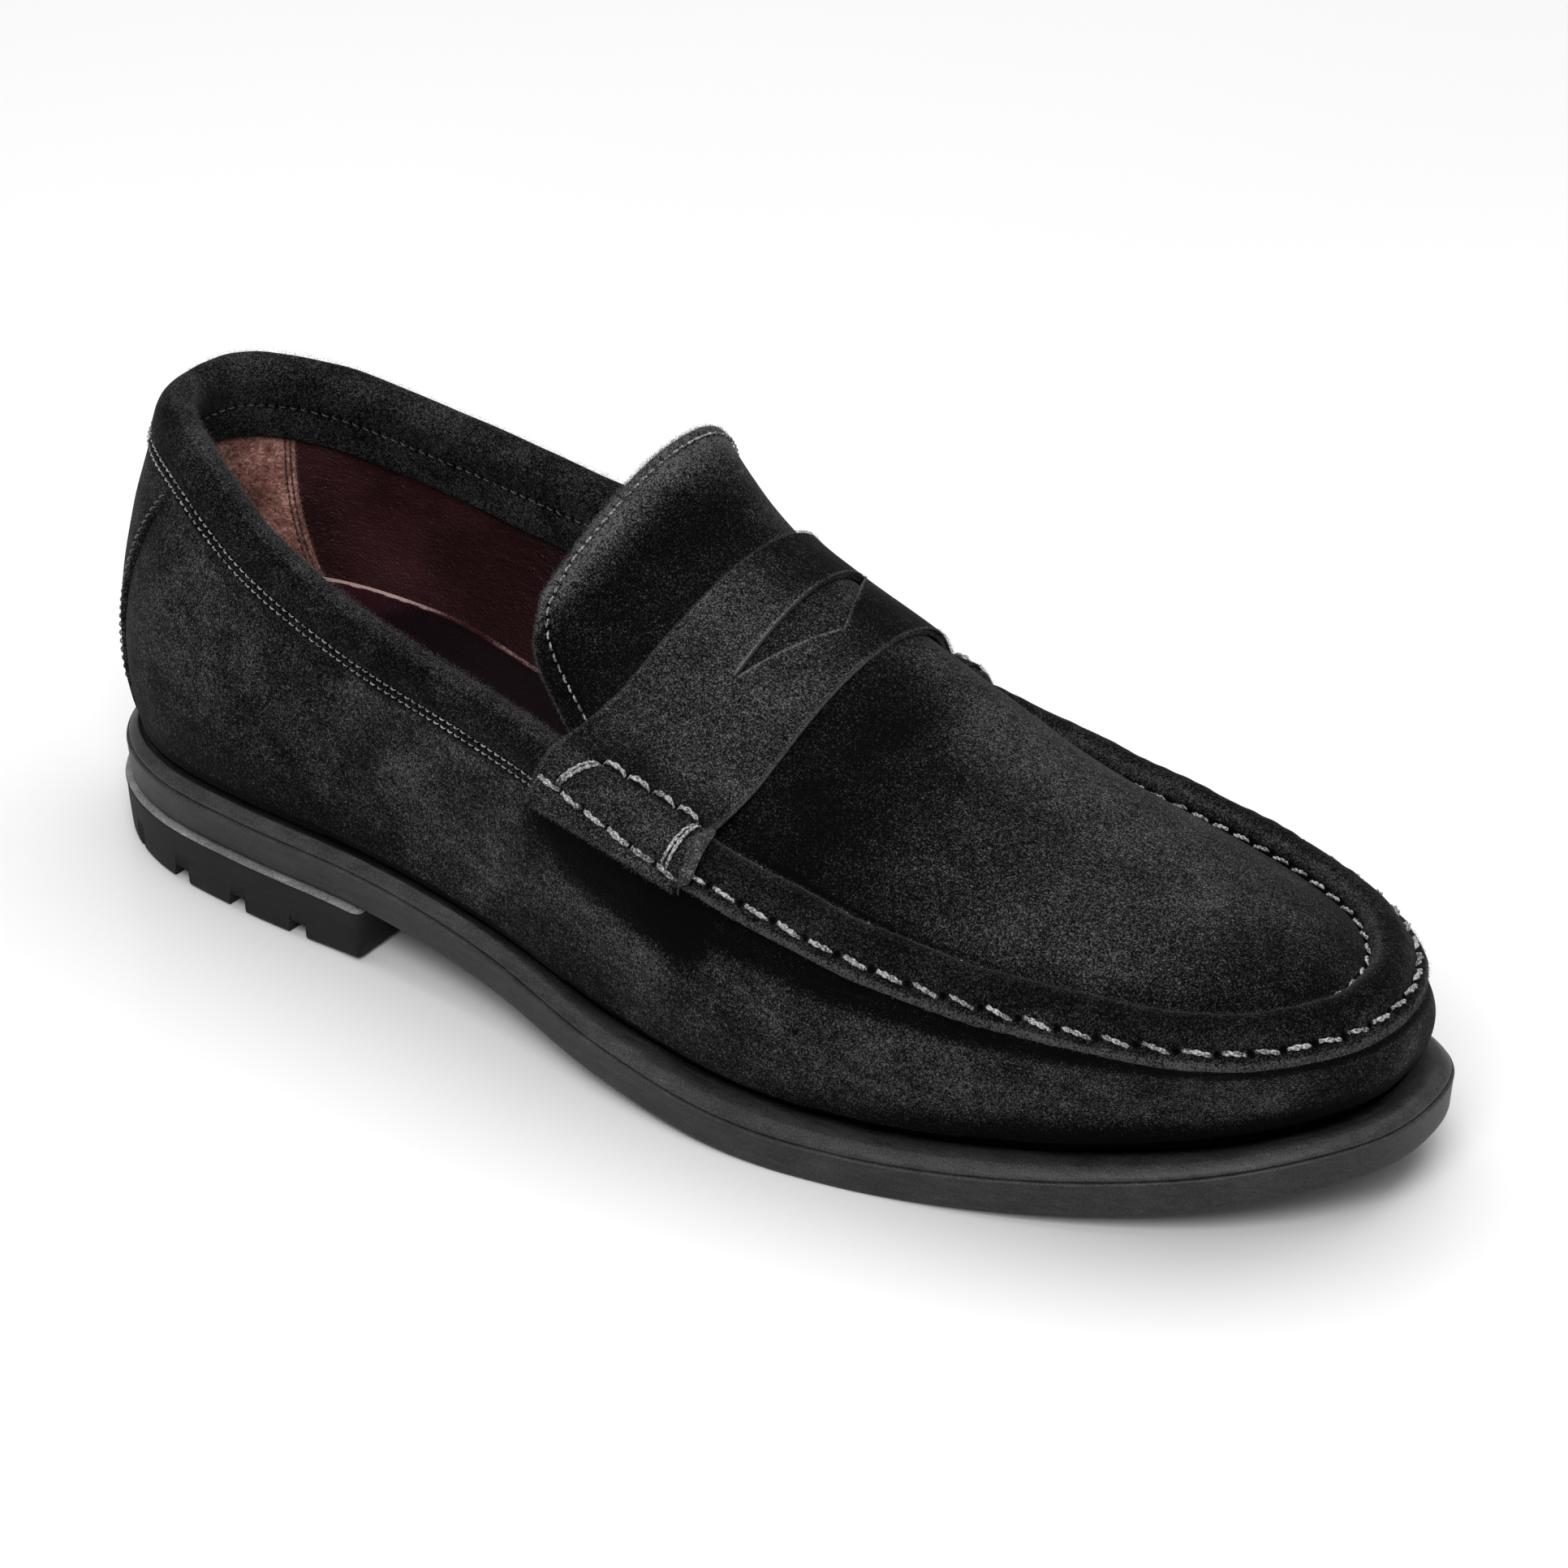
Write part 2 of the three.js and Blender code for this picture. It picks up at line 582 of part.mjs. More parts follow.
function makeBackStrip() {
  const heights = [0.14, 0.32, 0.5, 0.68, 1];
  const sweep = steps(-1, 1, 8);
  const grid = (offset) => heights.map((f) => sweep.map((side) => {
    const s = side * stripHalfWidth(f);
    return wallAt(s, Math.min(f, below(s, COLLAR_OUTSIDE + 1)), offset);
  }));
  add('back_strip', skin(grid(STRIP_LIFT + STRIP_THICK), grid(STRIP_LIFT)), 'suede');
}

const APRON_LINING = 0.8;      // thickness of the lining under the tongue and apron
const LINING_TRIM = 0.97;      // its width as a share of the apron's

function makeApron() {
  const rows = [...steps(0, 3, 5), ...steps(3.6, LAST_ROW, 14)];
  const across = steps(-1, 1, 10);
  const sheet = (offset, trim) => rows.map((r) => across.map((v) => apronAt(r, v * trim, offset)));
  add('apron_and_tongue', skin(sheet(0, 1), sheet(-SUEDE, 1)), 'suede');
  const under = -SUEDE - GAP;
  const lining = skin(sheet(under, LINING_TRIM), sheet(under - APRON_LINING, LINING_TRIM));
  add('apron_lining', lining, 'burgundy');
}

// Raised seam: the apron's edge rolled over a cord, with a lip that hangs over the wall.
function makeRidge() {
  const stations = steps(RIDGE_FROM, RIDGE_TO, 44);
  const faceProfile = [
    [-3.1, -3.2], [-1.7, -0.9], [0.6, 0.1], [3.2, -0.9], [5.8, -4.3], [7.4, -7.2],
  ];
  const backProfile = [
    [-2.2, -4], [-1, -2.2], [0.5, -1.4], [2.3, -2.2], [4.5, -4.9], [6.2, -7.6],
  ];
  const sweep = (profile) => stations.map((s) => profile.map(([e, h]) => besideCrest(s, e, h)));
  add('raised_seam', skin(sweep(faceProfile), sweep(backProfile)), 'suede');
  const cord = steps(RIDGE_FROM + 0.1, RIDGE_TO - 0.1, 40).map((s) => besideCrest(s, 0.7, -3.2));
  const cordRadius = 1;
  add('seam_cord', tube(cord, cordRadius, false, 6), 'foam');
}

// Strap over the instep. Each end folds over the raised seam and hangs outside it as a saddle.
const SADDLE_FACE = [
  [9.5, -6.8], [9.4, -5.6], [8.8, -4], [6.9, -1.2], [4.2, 1.2], [1, 2.4], [-2.2, 2],
];
const SADDLE_BACK = [
  [7.8, -6.8], [7.6, -5.9], [6.8, -4.4], [5.2, -2.4], [3, -0.3], [0.6, 0.6], [-1.8, 0.2],
];
const STRAP_REACH = 0.84;
const STRAP_THICK = 2;
const SADDLE_SETBACK = 0.22;   // the strap's rear edge bends forward towards its ends, in rows

function strapRow(f, profile, offset) {
  const row = (v) => STRAP_FROM + SADDLE_SETBACK * (1 - f) * v * v + f * (STRAP_TO - STRAP_FROM);
  const station = apronStation(row(1));
  const other = onOtherSide(station);
  const over = steps(-STRAP_REACH, STRAP_REACH, 14).map((v) => apronAt(row(v), v, offset));
  const outerEnd = profile.map(([e, h]) => besideCrest(station, e, h));
  const innerEnd = profile.map(([e, h]) => besideCrest(other, e, h)).reverse();
  return [...outerEnd, ...over, ...innerEnd];
}

// Lens-shaped slot: its rear edge is an arc and its front edge a blunt V. Its outer tip lies
// a little further forward than its inner tip.
const SLOT_ACROSS = [-0.615, 0.48];
const SLOT_ROWS = [3.55, 3.4];
const SLOT_APEX = 0.43;
const SLOT_DEPTHS = [0.04, 0.5];

function pennySlot() {
  const columns = steps(0, 1, 8);
  const chord = (f) => SLOT_ROWS[0] + f * (SLOT_ROWS[1] - SLOT_ROWS[0]);
  const rear = (f) => chord(f) - SLOT_DEPTHS[0] * Math.sin(Math.PI * f);
  const front = (f) =>
    chord(f) + SLOT_DEPTHS[1] * Math.min(f / SLOT_APEX, (1 - f) / (1 - SLOT_APEX));
  const sheet = (offset) => columns.map((f) => [rear(f), front(f)].map((row) =>
    apronAt(row, SLOT_ACROSS[0] + f * (SLOT_ACROSS[1] - SLOT_ACROSS[0]), offset)));
  return skin(sheet(GAP + STRAP_THICK + 2), sheet(-1));
}

function makeStrap() {
  const lengths = steps(0, 1, 7);
  const face = lengths.map((f) => strapRow(f, SADDLE_FACE, GAP + STRAP_THICK));
  const back = lengths.map((f) => strapRow(f, SADDLE_BACK, GAP));
  add('penny_strap', cut(skin(face, back), pennySlot()), 'suedeEdge');
}

// ---------------------------------------------------------------- sewing threads

const LIFT = GAP + THREAD;

function makeThreads() {
  const rowAlong = (from, to, count, point) => steps(from, to, count).map(point);
  const seam = (name, points, closed = false) => add(name, tube(points, THREAD, closed), 'thread');

  const outerRow = rowAlong(6.75, 17.15, 44, (s) => besideCrest(s, 6.4 + LIFT, -4.6));
  seam('thread_seam_outer_row', outerRow);
  const innerRow = rowAlong(6.75, 17.15, 44, (s) => besideCrest(s, -3.2, -1.2));
  seam('thread_seam_inner_row', innerRow);

  const collarRow = (depth) => (s) => wallAt(s, below(s, depth), GAP + BINDING + LIFT);
  seam('thread_collar_upper_row', rowAlong(COLLAR_FROM + 0.1, COLLAR_TO - 0.1, 36, collarRow(6.8)));
  seam('thread_collar_lower_row', rowAlong(COLLAR_FROM + 0.1, COLLAR_TO - 0.1, 36, collarRow(8.8)));
  const bandFace = -SUEDE - STIFFENER - LINING - 4 * GAP - BINDING - LIFT;
  const insideRow = (s) => wallAt(s, below(s, 8), bandFace);
  seam('thread_collar_inside_row', rowAlong(COLLAR_FROM + 0.1, COLLAR_TO - 0.1, 36, insideRow));

  const tongueRow = [
    ...steps(2.3, 0.35, 8).map((r) => apronAt(r, -0.93, LIFT)),
    ...steps(-0.8, 0.8, 16).map((v) => apronAt(0.18, v, LIFT)),
    ...steps(0.35, 2.3, 8).map((r) => apronAt(r, 0.93, LIFT)),
  ];
  seam('thread_tongue_edge', tongueRow);

  // Each saddle is sewn round its four sides.
  const saddle = (side) => {
    const near = apronStation(STRAP_FROM + SADDLE_SETBACK) + 0.12;
    const far = apronStation(STRAP_TO) - 0.12;
    const onSaddle = (s, [e, h]) => besideCrest(side(s), e, h);
    const acrossRoll = [[3, 2.6], [5.5, 1.1], [7.8, -1.2], [9.2, -3.2]];
    return [
      ...steps(near, far, 5).map((s) => onSaddle(s, [0.4, 2.4 + LIFT])),
      ...acrossRoll.map((place) => onSaddle(far + 0.02, place)),
      ...steps(far, near, 5).map((s) => onSaddle(s, [8.9 + LIFT, -4.4])),
      ...acrossRoll.reverse().map((place) => onSaddle(near - 0.02, place)),
    ];
  };
  seam('thread_saddle_outer_side', saddle(sameSide), true);
  seam('thread_saddle_inner_side', saddle(onOtherSide), true);

  const stripRow = (side) => steps(0.18, 0.98, 10).map((f) => {
    const s = side * (stripHalfWidth(f) - 0.12);
    return wallAt(s, f * below(s, COLLAR_OUTSIDE + 2), STRIP_LIFT + STRIP_THICK + 0.2 + LIFT);
  });
  seam('thread_back_strip_outer_side', stripRow(1));
  seam('thread_back_strip_inner_side', stripRow(-1));
}

makeOutsole();
makeWelt();
makeHeelBlock();
makeNails();
makeInnerSole();
makeFootbed();
makeWall();
makeStiffeners();
makeLining();
makeCollar();
makeBackStrip();
makeApron();
makeRidge();
makeStrap();
makeThreads();

// The origin belongs on the ground under the middle of the finished shoe's box.
const middle = new THREE.Box3().setFromObject(penny_loafer).getCenter(vec(0, 0));
penny_loafer.children.forEach((mesh) => mesh.geometry.translate(-middle.x, -middle.y, 0));

export default penny_loafer;
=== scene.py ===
"""Penny loafer for the right foot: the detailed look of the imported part.

The drawing below is in millimetres and is the same as the part's: station 0 is the middle of the
heel's back, stations 1 to 11 run along the outer side, 12 is the tip of the toe and 13 to 23 run
back along the inner side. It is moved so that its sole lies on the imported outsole.
"""

import math

import bmesh
import bpy
import numpy as np
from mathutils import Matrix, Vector


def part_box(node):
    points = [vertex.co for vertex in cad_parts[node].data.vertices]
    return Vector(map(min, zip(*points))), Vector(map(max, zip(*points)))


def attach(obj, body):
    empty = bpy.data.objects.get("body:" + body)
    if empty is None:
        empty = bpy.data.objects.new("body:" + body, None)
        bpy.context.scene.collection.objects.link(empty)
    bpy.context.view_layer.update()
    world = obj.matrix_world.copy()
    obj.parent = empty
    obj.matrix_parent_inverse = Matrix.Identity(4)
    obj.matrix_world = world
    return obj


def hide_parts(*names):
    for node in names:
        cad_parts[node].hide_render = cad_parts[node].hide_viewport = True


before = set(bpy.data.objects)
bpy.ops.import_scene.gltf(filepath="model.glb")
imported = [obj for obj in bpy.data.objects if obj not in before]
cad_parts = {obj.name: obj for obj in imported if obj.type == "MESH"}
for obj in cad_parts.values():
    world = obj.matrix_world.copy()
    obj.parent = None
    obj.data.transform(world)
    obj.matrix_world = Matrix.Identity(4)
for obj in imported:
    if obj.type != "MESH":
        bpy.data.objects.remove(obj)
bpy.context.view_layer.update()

MM = 0.001
STATIONS = 24
GAP = 0.3
OUTSOLE_THICK = 7.4
WELT_THICK = 2.7
SUEDE = 1.4
STIFFENER = 1.0
LINING = 1.0
BINDING = 1.2
TURNED_IN = (11, 8, 5, 2.5, 1)
FEATHER_HEIGHT = WELT_THICK + 2 * GAP
INSOLE_THICK = 2

SOLE_EDGE = [
    (-150, 1), (-142.5, -18.5), (-125, -31), (-99, -36.5), (-68, -39), (-34, -44),
    (1, -53), (35, -57), (70, -52), (104, -41.5), (131, -27), (147, -9),
    (150, 9), (144.5, 26), (127, 39), (99, 47.5), (64, 50), (29, 44),
    (-1, 34.5), (-36, 28.5), (-70, 30), (-100, 33.5), (-126, 31), (-143, 20),
]
CREST = [
    (-138.5, 2, 95.5), (-132.5, -11.5, 96), (-117.5, -21.5, 93.5), (-95.5, -30.5, 84.5),
    (-67, -36.5, 76.5), (-35, -41, 71.5), (-1, -45.5, 66.5), (33, -46.5, 59),
    (67, -46.5, 54), (101, -41, 51.5), (126.5, -31, 50.2), (139.8, -15.5, 50.3),
    (141.7, -0.5, 50.6), (135.5, 13.5, 50), (122, 25, 50), (99, 31.5, 52.2),
    (66, 34, 55.6), (32, 35, 60), (-1, 36.5, 63.5), (-36, 39.5, 73.5),
    (-69, 36.5, 80.5), (-98, 33, 86.2), (-121.5, 28, 91), (-135.5, 16.5, 94.5),
]
UNDERSIDE = [13, 13, 13, 12, 8.7, 4, 0.7, 0, 2, 6, 11.5]
BELLY_INSET = [
    1.8, 1.8, 1, 0.5, 1, 2, 2.5, 3, 3, 3, 3, 3.5,
    4, 4, 4, 4, 3.5, 1, -4, -6, -4, -1.5, 0.5, 1.5,
]
APRON_CREST = [
    (-20.5, 6, 111.5), (-12, 6, 103.3), (-4, 5.5, 96), (6, 5, 91.7), (23, 4, 85),
    (41, 1.5, 77.8), (60, -2, 70.7), (79, -4.5, 65.3), (101, -5.5, 59.8), (118, -5, 55.7),
    (130, -4, 52.2), (134.5, -3, 49.8), (137.5, -1.5, 47.3),
]
TONGUE_OUTER_EDGE = [(-30, -26.5, 88.5), (-28, -31.5, 79), (-20, -35, 70.5)]
TONGUE_INNER_EDGE = [(-28, 35.5, 89.5), (-26, 35.5, 80), (-18, 35.5, 72)]
TONGUE_ROWS = 3
LAST_ROW = 12
APRON_EDGE = (-3.5, -3.5)
HOLE_SIZE = 0.48
HOLE_DARK = 3.0
HEEL_GROOVE = 3.4
SEWN_FROM = 5.85
ROW_STEP = 0.622
BELLY_HEIGHT = 0.45
SIDE_SHIFT = 0.1
APRON_ROUND = 2.2

rng = np.random.default_rng(7)


# ---------------------------------------------------------------- curves


def catmull(points, f):
    """Between the middle two of four points, a fraction f of the way."""
    a, b, c, d = points
    bend = (2 * a - 5 * b + 4 * c - d) * f**2 + (3 * b - 3 * c + d - a) * f**3
    return b + 0.5 * ((c - a) * f + bend)


def spline(points, t, ends="closed"):
    """Curve through the points at t, which counts in points. Ends: closed, held or run on."""
    p = np.asarray(points, float)
    t = np.asarray(t, float)
    n = len(p)
    if ends == "closed":
        i = np.floor(t).astype(int)
        four = [p[(i + k) % n] for k in (-1, 0, 1, 2)]
    else:
        first, last = (p[0], p[-1]) if ends == "held" else (2 * p[0] - p[1], 2 * p[-1] - p[-2])
        p = np.concatenate([[first], p, [last]])
        t = np.clip(t, 0, n - 1)
        i = np.minimum(np.floor(t).astype(int), n - 2)
        four = [p[i + k] for k in (0, 1, 2, 3)]
    f = t - i
    return catmull(four, f[..., None] if p.ndim > 1 else f)


def ramp(low, high, value):
    f = np.clip((value - low) / (high - low), 0, 1)
    return f * f * (3 - 2 * f)


def fade(low, high, value):
    return 1 - ramp(low, high, value)


def swell(middle, width, value):
    return np.exp(-(((value - middle) / width) ** 2))


def unit(v):
    return v / np.maximum(np.linalg.norm(v, axis=-1, keepdims=True), 1e-12)


def together(*values):
    """The values as float arrays of one shape."""
    return np.broadcast_arrays(*(np.asarray(v, float) for v in values))


def vec(x, y, z):
    return np.stack(np.broadcast_arrays(x, y, z), -1).astype(float)


def sole_edge(s):
    p = spline(SOLE_EDGE, s)
    return vec(p[..., 0], p[..., 1], 0)


def crest(s):
    return spline(CREST, s)


def outward(curve, s):
    d = curve(s + 0.02) - curve(s - 0.02)
    return unit(vec(d[..., 1], -d[..., 0], 0))


def underside(x):
    return np.maximum(spline(UNDERSIDE, (x + 150) / 30, "held"), 0)


def sole_top(x):
    return underside(x) + OUTSOLE_THICK


def sole_inset(s, inset, height):
    """On the outsole's top, moved in from its edge and up."""
    s = np.asarray(s, float)
    p = sole_edge(s) - outward(sole_edge, s) * np.asarray(inset, float)[..., None]
    p[..., 2] = sole_top(p[..., 0]) + height
    return p


def frontness(s):
    s = np.mod(s, STATIONS)
    return ramp(5.4, 6.4, s) * fade(17.6, 18.6, s)


def feather_inset(s):
    return HEEL_GROOVE + 4.2 * ramp(-60, 40, sole_edge(s)[..., 0])


def wall_top(s):
    front = frontness(s)[..., None]
    return crest(s) + outward(crest, s) * 4.2 * front - vec(0, 0, 6) * front


def wall_face(s, h):
    s, h = together(s, h)
    foot = sole_inset(s, feather_inset(s), FEATHER_HEIGHT)
    top = wall_top(s)
    belly = sole_inset(s, spline(BELLY_INSET, s), 0)
    belly[..., 2] = (1 - BELLY_HEIGHT) * foot[..., 2] + BELLY_HEIGHT * top[..., 2]
    h = h[..., None]
    return foot * (1 - h) * (1 - 2 * h) + belly * 4 * h * (1 - h) + top * h * (2 * h - 1)


def wall_normal(s, h):
    along = wall_face(s + 0.03, h) - wall_face(s - 0.03, h)
    rise = wall_face(s, h + 0.03) - wall_face(s, h - 0.03)
    return unit(np.cross(along, rise))


def wall_at(s, h, offset):
    s, h, offset = together(s, h, offset)
    return wall_face(s, h) + wall_normal(s, h) * offset[..., None]


def wall_rise(s):
    return wall_top(s)[..., 2] - wall_face(s, 0)[..., 2]


def below(s, drop):
    return 1 - drop / wall_rise(s)


def beside_crest(s, e, h):
    s, e, h = together(s, e, h)
    return crest(s) + outward(crest, s) * e[..., None] + vec(0, 0, h)


def apron_station(row):
    return SEWN_FROM + (row - TONGUE_ROWS) * ROW_STEP


def on_other_side(s):
    return STATIONS - SIDE_SHIFT - s


def apron_edge(row, tongue_edge, side):
    joined = [beside_crest(side(apron_station(r)), *APRON_EDGE) for r in (3.0, 4.0, 5.0)]
    free = spline([*tongue_edge, *joined], np.minimum(row, TONGUE_ROWS), "run on")
    sewn = beside_crest(side(apron_station(np.maximum(row, TONGUE_ROWS))), *APRON_EDGE)
    return np.where((row < TONGUE_ROWS)[..., None], free, sewn)


def apron_face(row, across):
    """Across runs from -1 on the outer side to 1 on the inner side."""
    row, across = together(row, across)
    a = apron_edge(row, TONGUE_OUTER_EDGE, lambda s: s)
    b = apron_edge(row, TONGUE_INNER_EDGE, on_other_side)
    rise = spline(APRON_CREST, np.minimum(row, LAST_ROW), "run on") - (a + b) / 2
    f = across[..., None]
    return a + (b - a) * (f + 1) / 2 + rise * (1 - np.abs(f) ** APRON_ROUND)


def apron_normal(row, across):
    along = apron_face(row + 0.02, across) - apron_face(np.maximum(row - 0.02, 0), across)
    over = apron_face(row, across + 0.02) - apron_face(row, across - 0.02)
    return unit(np.cross(along, over))


def apron_at(row, across, offset):
    row, across, offset = together(row, across, offset)
    return apron_face(row, across) + apron_normal(row, across) * offset[..., None]


dense_edge = sole_edge(np.linspace(0, STATIONS, 2000))
packed_low = np.array(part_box("outsole")[0]) / MM
SHIFT = vec(packed_low[0] - dense_edge[:, 0].min(), packed_low[1] - dense_edge[:, 1].min(), 0)


# ---------------------------------------------------------------- meshes


def linked(name, data):
    """A new object in the scene."""
    obj = bpy.data.objects.new(name, data)
    bpy.context.scene.collection.objects.link(obj)
    return obj


def mesh_object(name, points, faces):
    """Points are in millimetres, in the drawing's frame."""
    mesh = bpy.data.meshes.new(name)
    placed = (np.asarray(points, float).reshape(-1, 3) + SHIFT) * MM
    mesh.from_pydata(placed.tolist(), [], [tuple(int(i) for i in f) for f in faces])
    mesh.validate()
    mesh.polygons.foreach_set("use_smooth", [True] * len(mesh.polygons))
    return linked(name, mesh)


def grid_faces(rows, columns, ring=False, tube=False, start=0):
    """Quads of a grid of points, closed along its first index or its second."""
    i = np.arange(rows if ring else rows - 1)[:, None]
    j = np.arange(columns if tube else columns - 1)[None, :]
    a, b = np.broadcast_arrays(i * columns + j, i * columns + (j + 1) % columns)
    c = ((i + 1) % rows) * columns + (j + 1) % columns
    d = ((i + 1) % rows) * columns + j
    return (np.stack(np.broadcast_arrays(a, d, c, b), -1).reshape(-1, 4) + start).tolist()


def facing(grid, normals):
    """True if the grid's quads already face the way of the normals, on the whole."""
    u = grid[1:, :-1] - grid[:-1, :-1]
    v = grid[:-1, 1:] - grid[:-1, :-1]
    return float(np.sum(np.cross(u, v) * normals[:-1, :-1])) > 0


def finished(obj):
    """Applies the modifiers, so that the piece is one plain mesh."""
    graph = bpy.context.evaluated_depsgraph_get()
    mesh = bpy.data.meshes.new_from_object(obj.evaluated_get(graph))
    obj.modifiers.clear()
    obj.data = mesh
    return obj


def tint(obj, tone, shape):
    """Stores how far each point is painted darker, as shade or brushed nap, or lighter below zero,
    as painted light.
    """
    layer = obj.data.attributes.new("tone", "FLOAT", "POINT")
    layer.data.foreach_set("value", np.broadcast_to(tone, shape).astype(np.float32).ravel())


def sheet_piece(name, grid, normals, thick, edge, tone=None):
    """A sheet of leather: a grid of points on its outer face, thickened inward."""
    rows, columns = grid.shape[:2]
    faces = grid_faces(rows, columns)
    if not facing(grid, normals):
        faces = [f[::-1] for f in faces]
    obj = mesh_object(name, grid, faces)
    if tone is not None:
        tint(obj, tone, (rows, columns))
    return thickened(obj, thick, edge)


def rounded(obj, width, segments, angle):
    """Bevels the edges that are sharper than an angle in degrees."""
    bevel = obj.modifiers.new("edge", "BEVEL")
    bevel.width = width * MM
    bevel.segments = segments
    bevel.limit_method = "ANGLE"
    bevel.angle_limit = math.radians(angle)
    return finished(obj)


def thickened(obj, thick, edge):
    solid = obj.modifiers.new("thickness", "SOLIDIFY")
    solid.thickness = thick * MM
    solid.offset = -1
    solid.use_quality_normals = True
    return rounded(obj, edge, 3, 60)


def closed_piece(name, sections, tone=None):
    """A solid swept through closed sections, with its ends capped."""
    rows, columns = sections.shape[:2]
    faces = grid_faces(rows, columns, tube=True)
    faces.append(list(range(columns)))
    faces.append([(rows - 1) * columns + j for j in range(columns)][::-1])
    obj = mesh_object(name, sections, faces)
    if tone is not None:
        tint(obj, tone, (rows, columns))
    return turned_outward(obj)


def reworked(obj, change):
    """Runs a bmesh change on a piece."""
    bm = bmesh.new()
    bm.from_mesh(obj.data)
    change(bm)
    bm.to_mesh(obj.data)
    bm.free()
    return obj


def turned_outward(obj):
    return reworked(obj, lambda bm: bmesh.ops.recalc_face_normals(bm, faces=bm.faces))


def put(obj, material, slot, *nodes, second=None):
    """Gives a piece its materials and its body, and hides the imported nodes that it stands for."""
    obj.data.materials.clear()
    obj.data.materials.append(material)
    if second:
        obj.data.materials.append(second)
    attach(obj, "root")
    if nodes:
        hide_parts(*nodes)
    return obj


def mark(obj, chosen):
    """Gives the second material to the faces whose centres are chosen."""
    centres = np.empty(3 * len(obj.data.polygons))
    obj.data.polygons.foreach_get("center", centres)
    picked = chosen(centres.reshape(-1, 3) / MM - SHIFT)
    obj.data.polygons.foreach_set("material_index", picked.astype(int))


def ripple(points, size, depth, seed):
    """Smooth unevenness: a sum of slow waves over space, about -depth to depth."""
    source = np.random.default_rng(seed)
    total = np.zeros(points.shape[:-1])
    for _ in range(6):
        direction = unit(source.normal(size=3))
        phase = source.uniform(0, 2 * math.pi)
        stretch = source.uniform(0.7, 1.5)
        total += np.sin(points @ direction * 2 * math.pi / (size * stretch) + phase)
    return depth * total / 3


def closeness(grid, centres, radius):
    """1 at each centre, falling to 0 a few radii away."""
    flat = grid.reshape(-1, 3)
    press = np.zeros(len(flat))
    for c in centres:
        near = np.where(np.abs(flat - c).max(1) < 2.5 * radius)[0]
        d2 = ((flat[near] - c) ** 2).sum(1)
        press[near] = np.maximum(press[near], np.exp(-d2 / radius**2))
    return press.reshape(grid.shape[:2])


def dimple(grid, normals, centres, radius, depth):
    """Presses a grid in round each centre."""
    return grid - normals * (depth * closeness(grid, centres, radius))[..., None]


def hole_tone(grid, centres):
    return HOLE_DARK * closeness(grid, centres, HOLE_SIZE)


def sewn(grid, normals, tone, holes, dark, *presses):
    """A grid and its tone with needle holes darkened, then pressed in: (radius, depth)."""
    tone = tone + dark * hole_tone(grid, holes)
    for radius, depth in presses:
        grid = dimple(grid, normals, holes, radius, depth)
    return grid, tone


def grid_normals(grid, columns, way):
    """The grid's normals, on the side where its chosen columns face the given way."""
    normals = unit(np.cross(np.gradient(grid, axis=0), np.gradient(grid, axis=1)))
    return normals * np.sign(np.sum(normals[:, columns] * way))


# ---------------------------------------------------------------- materials


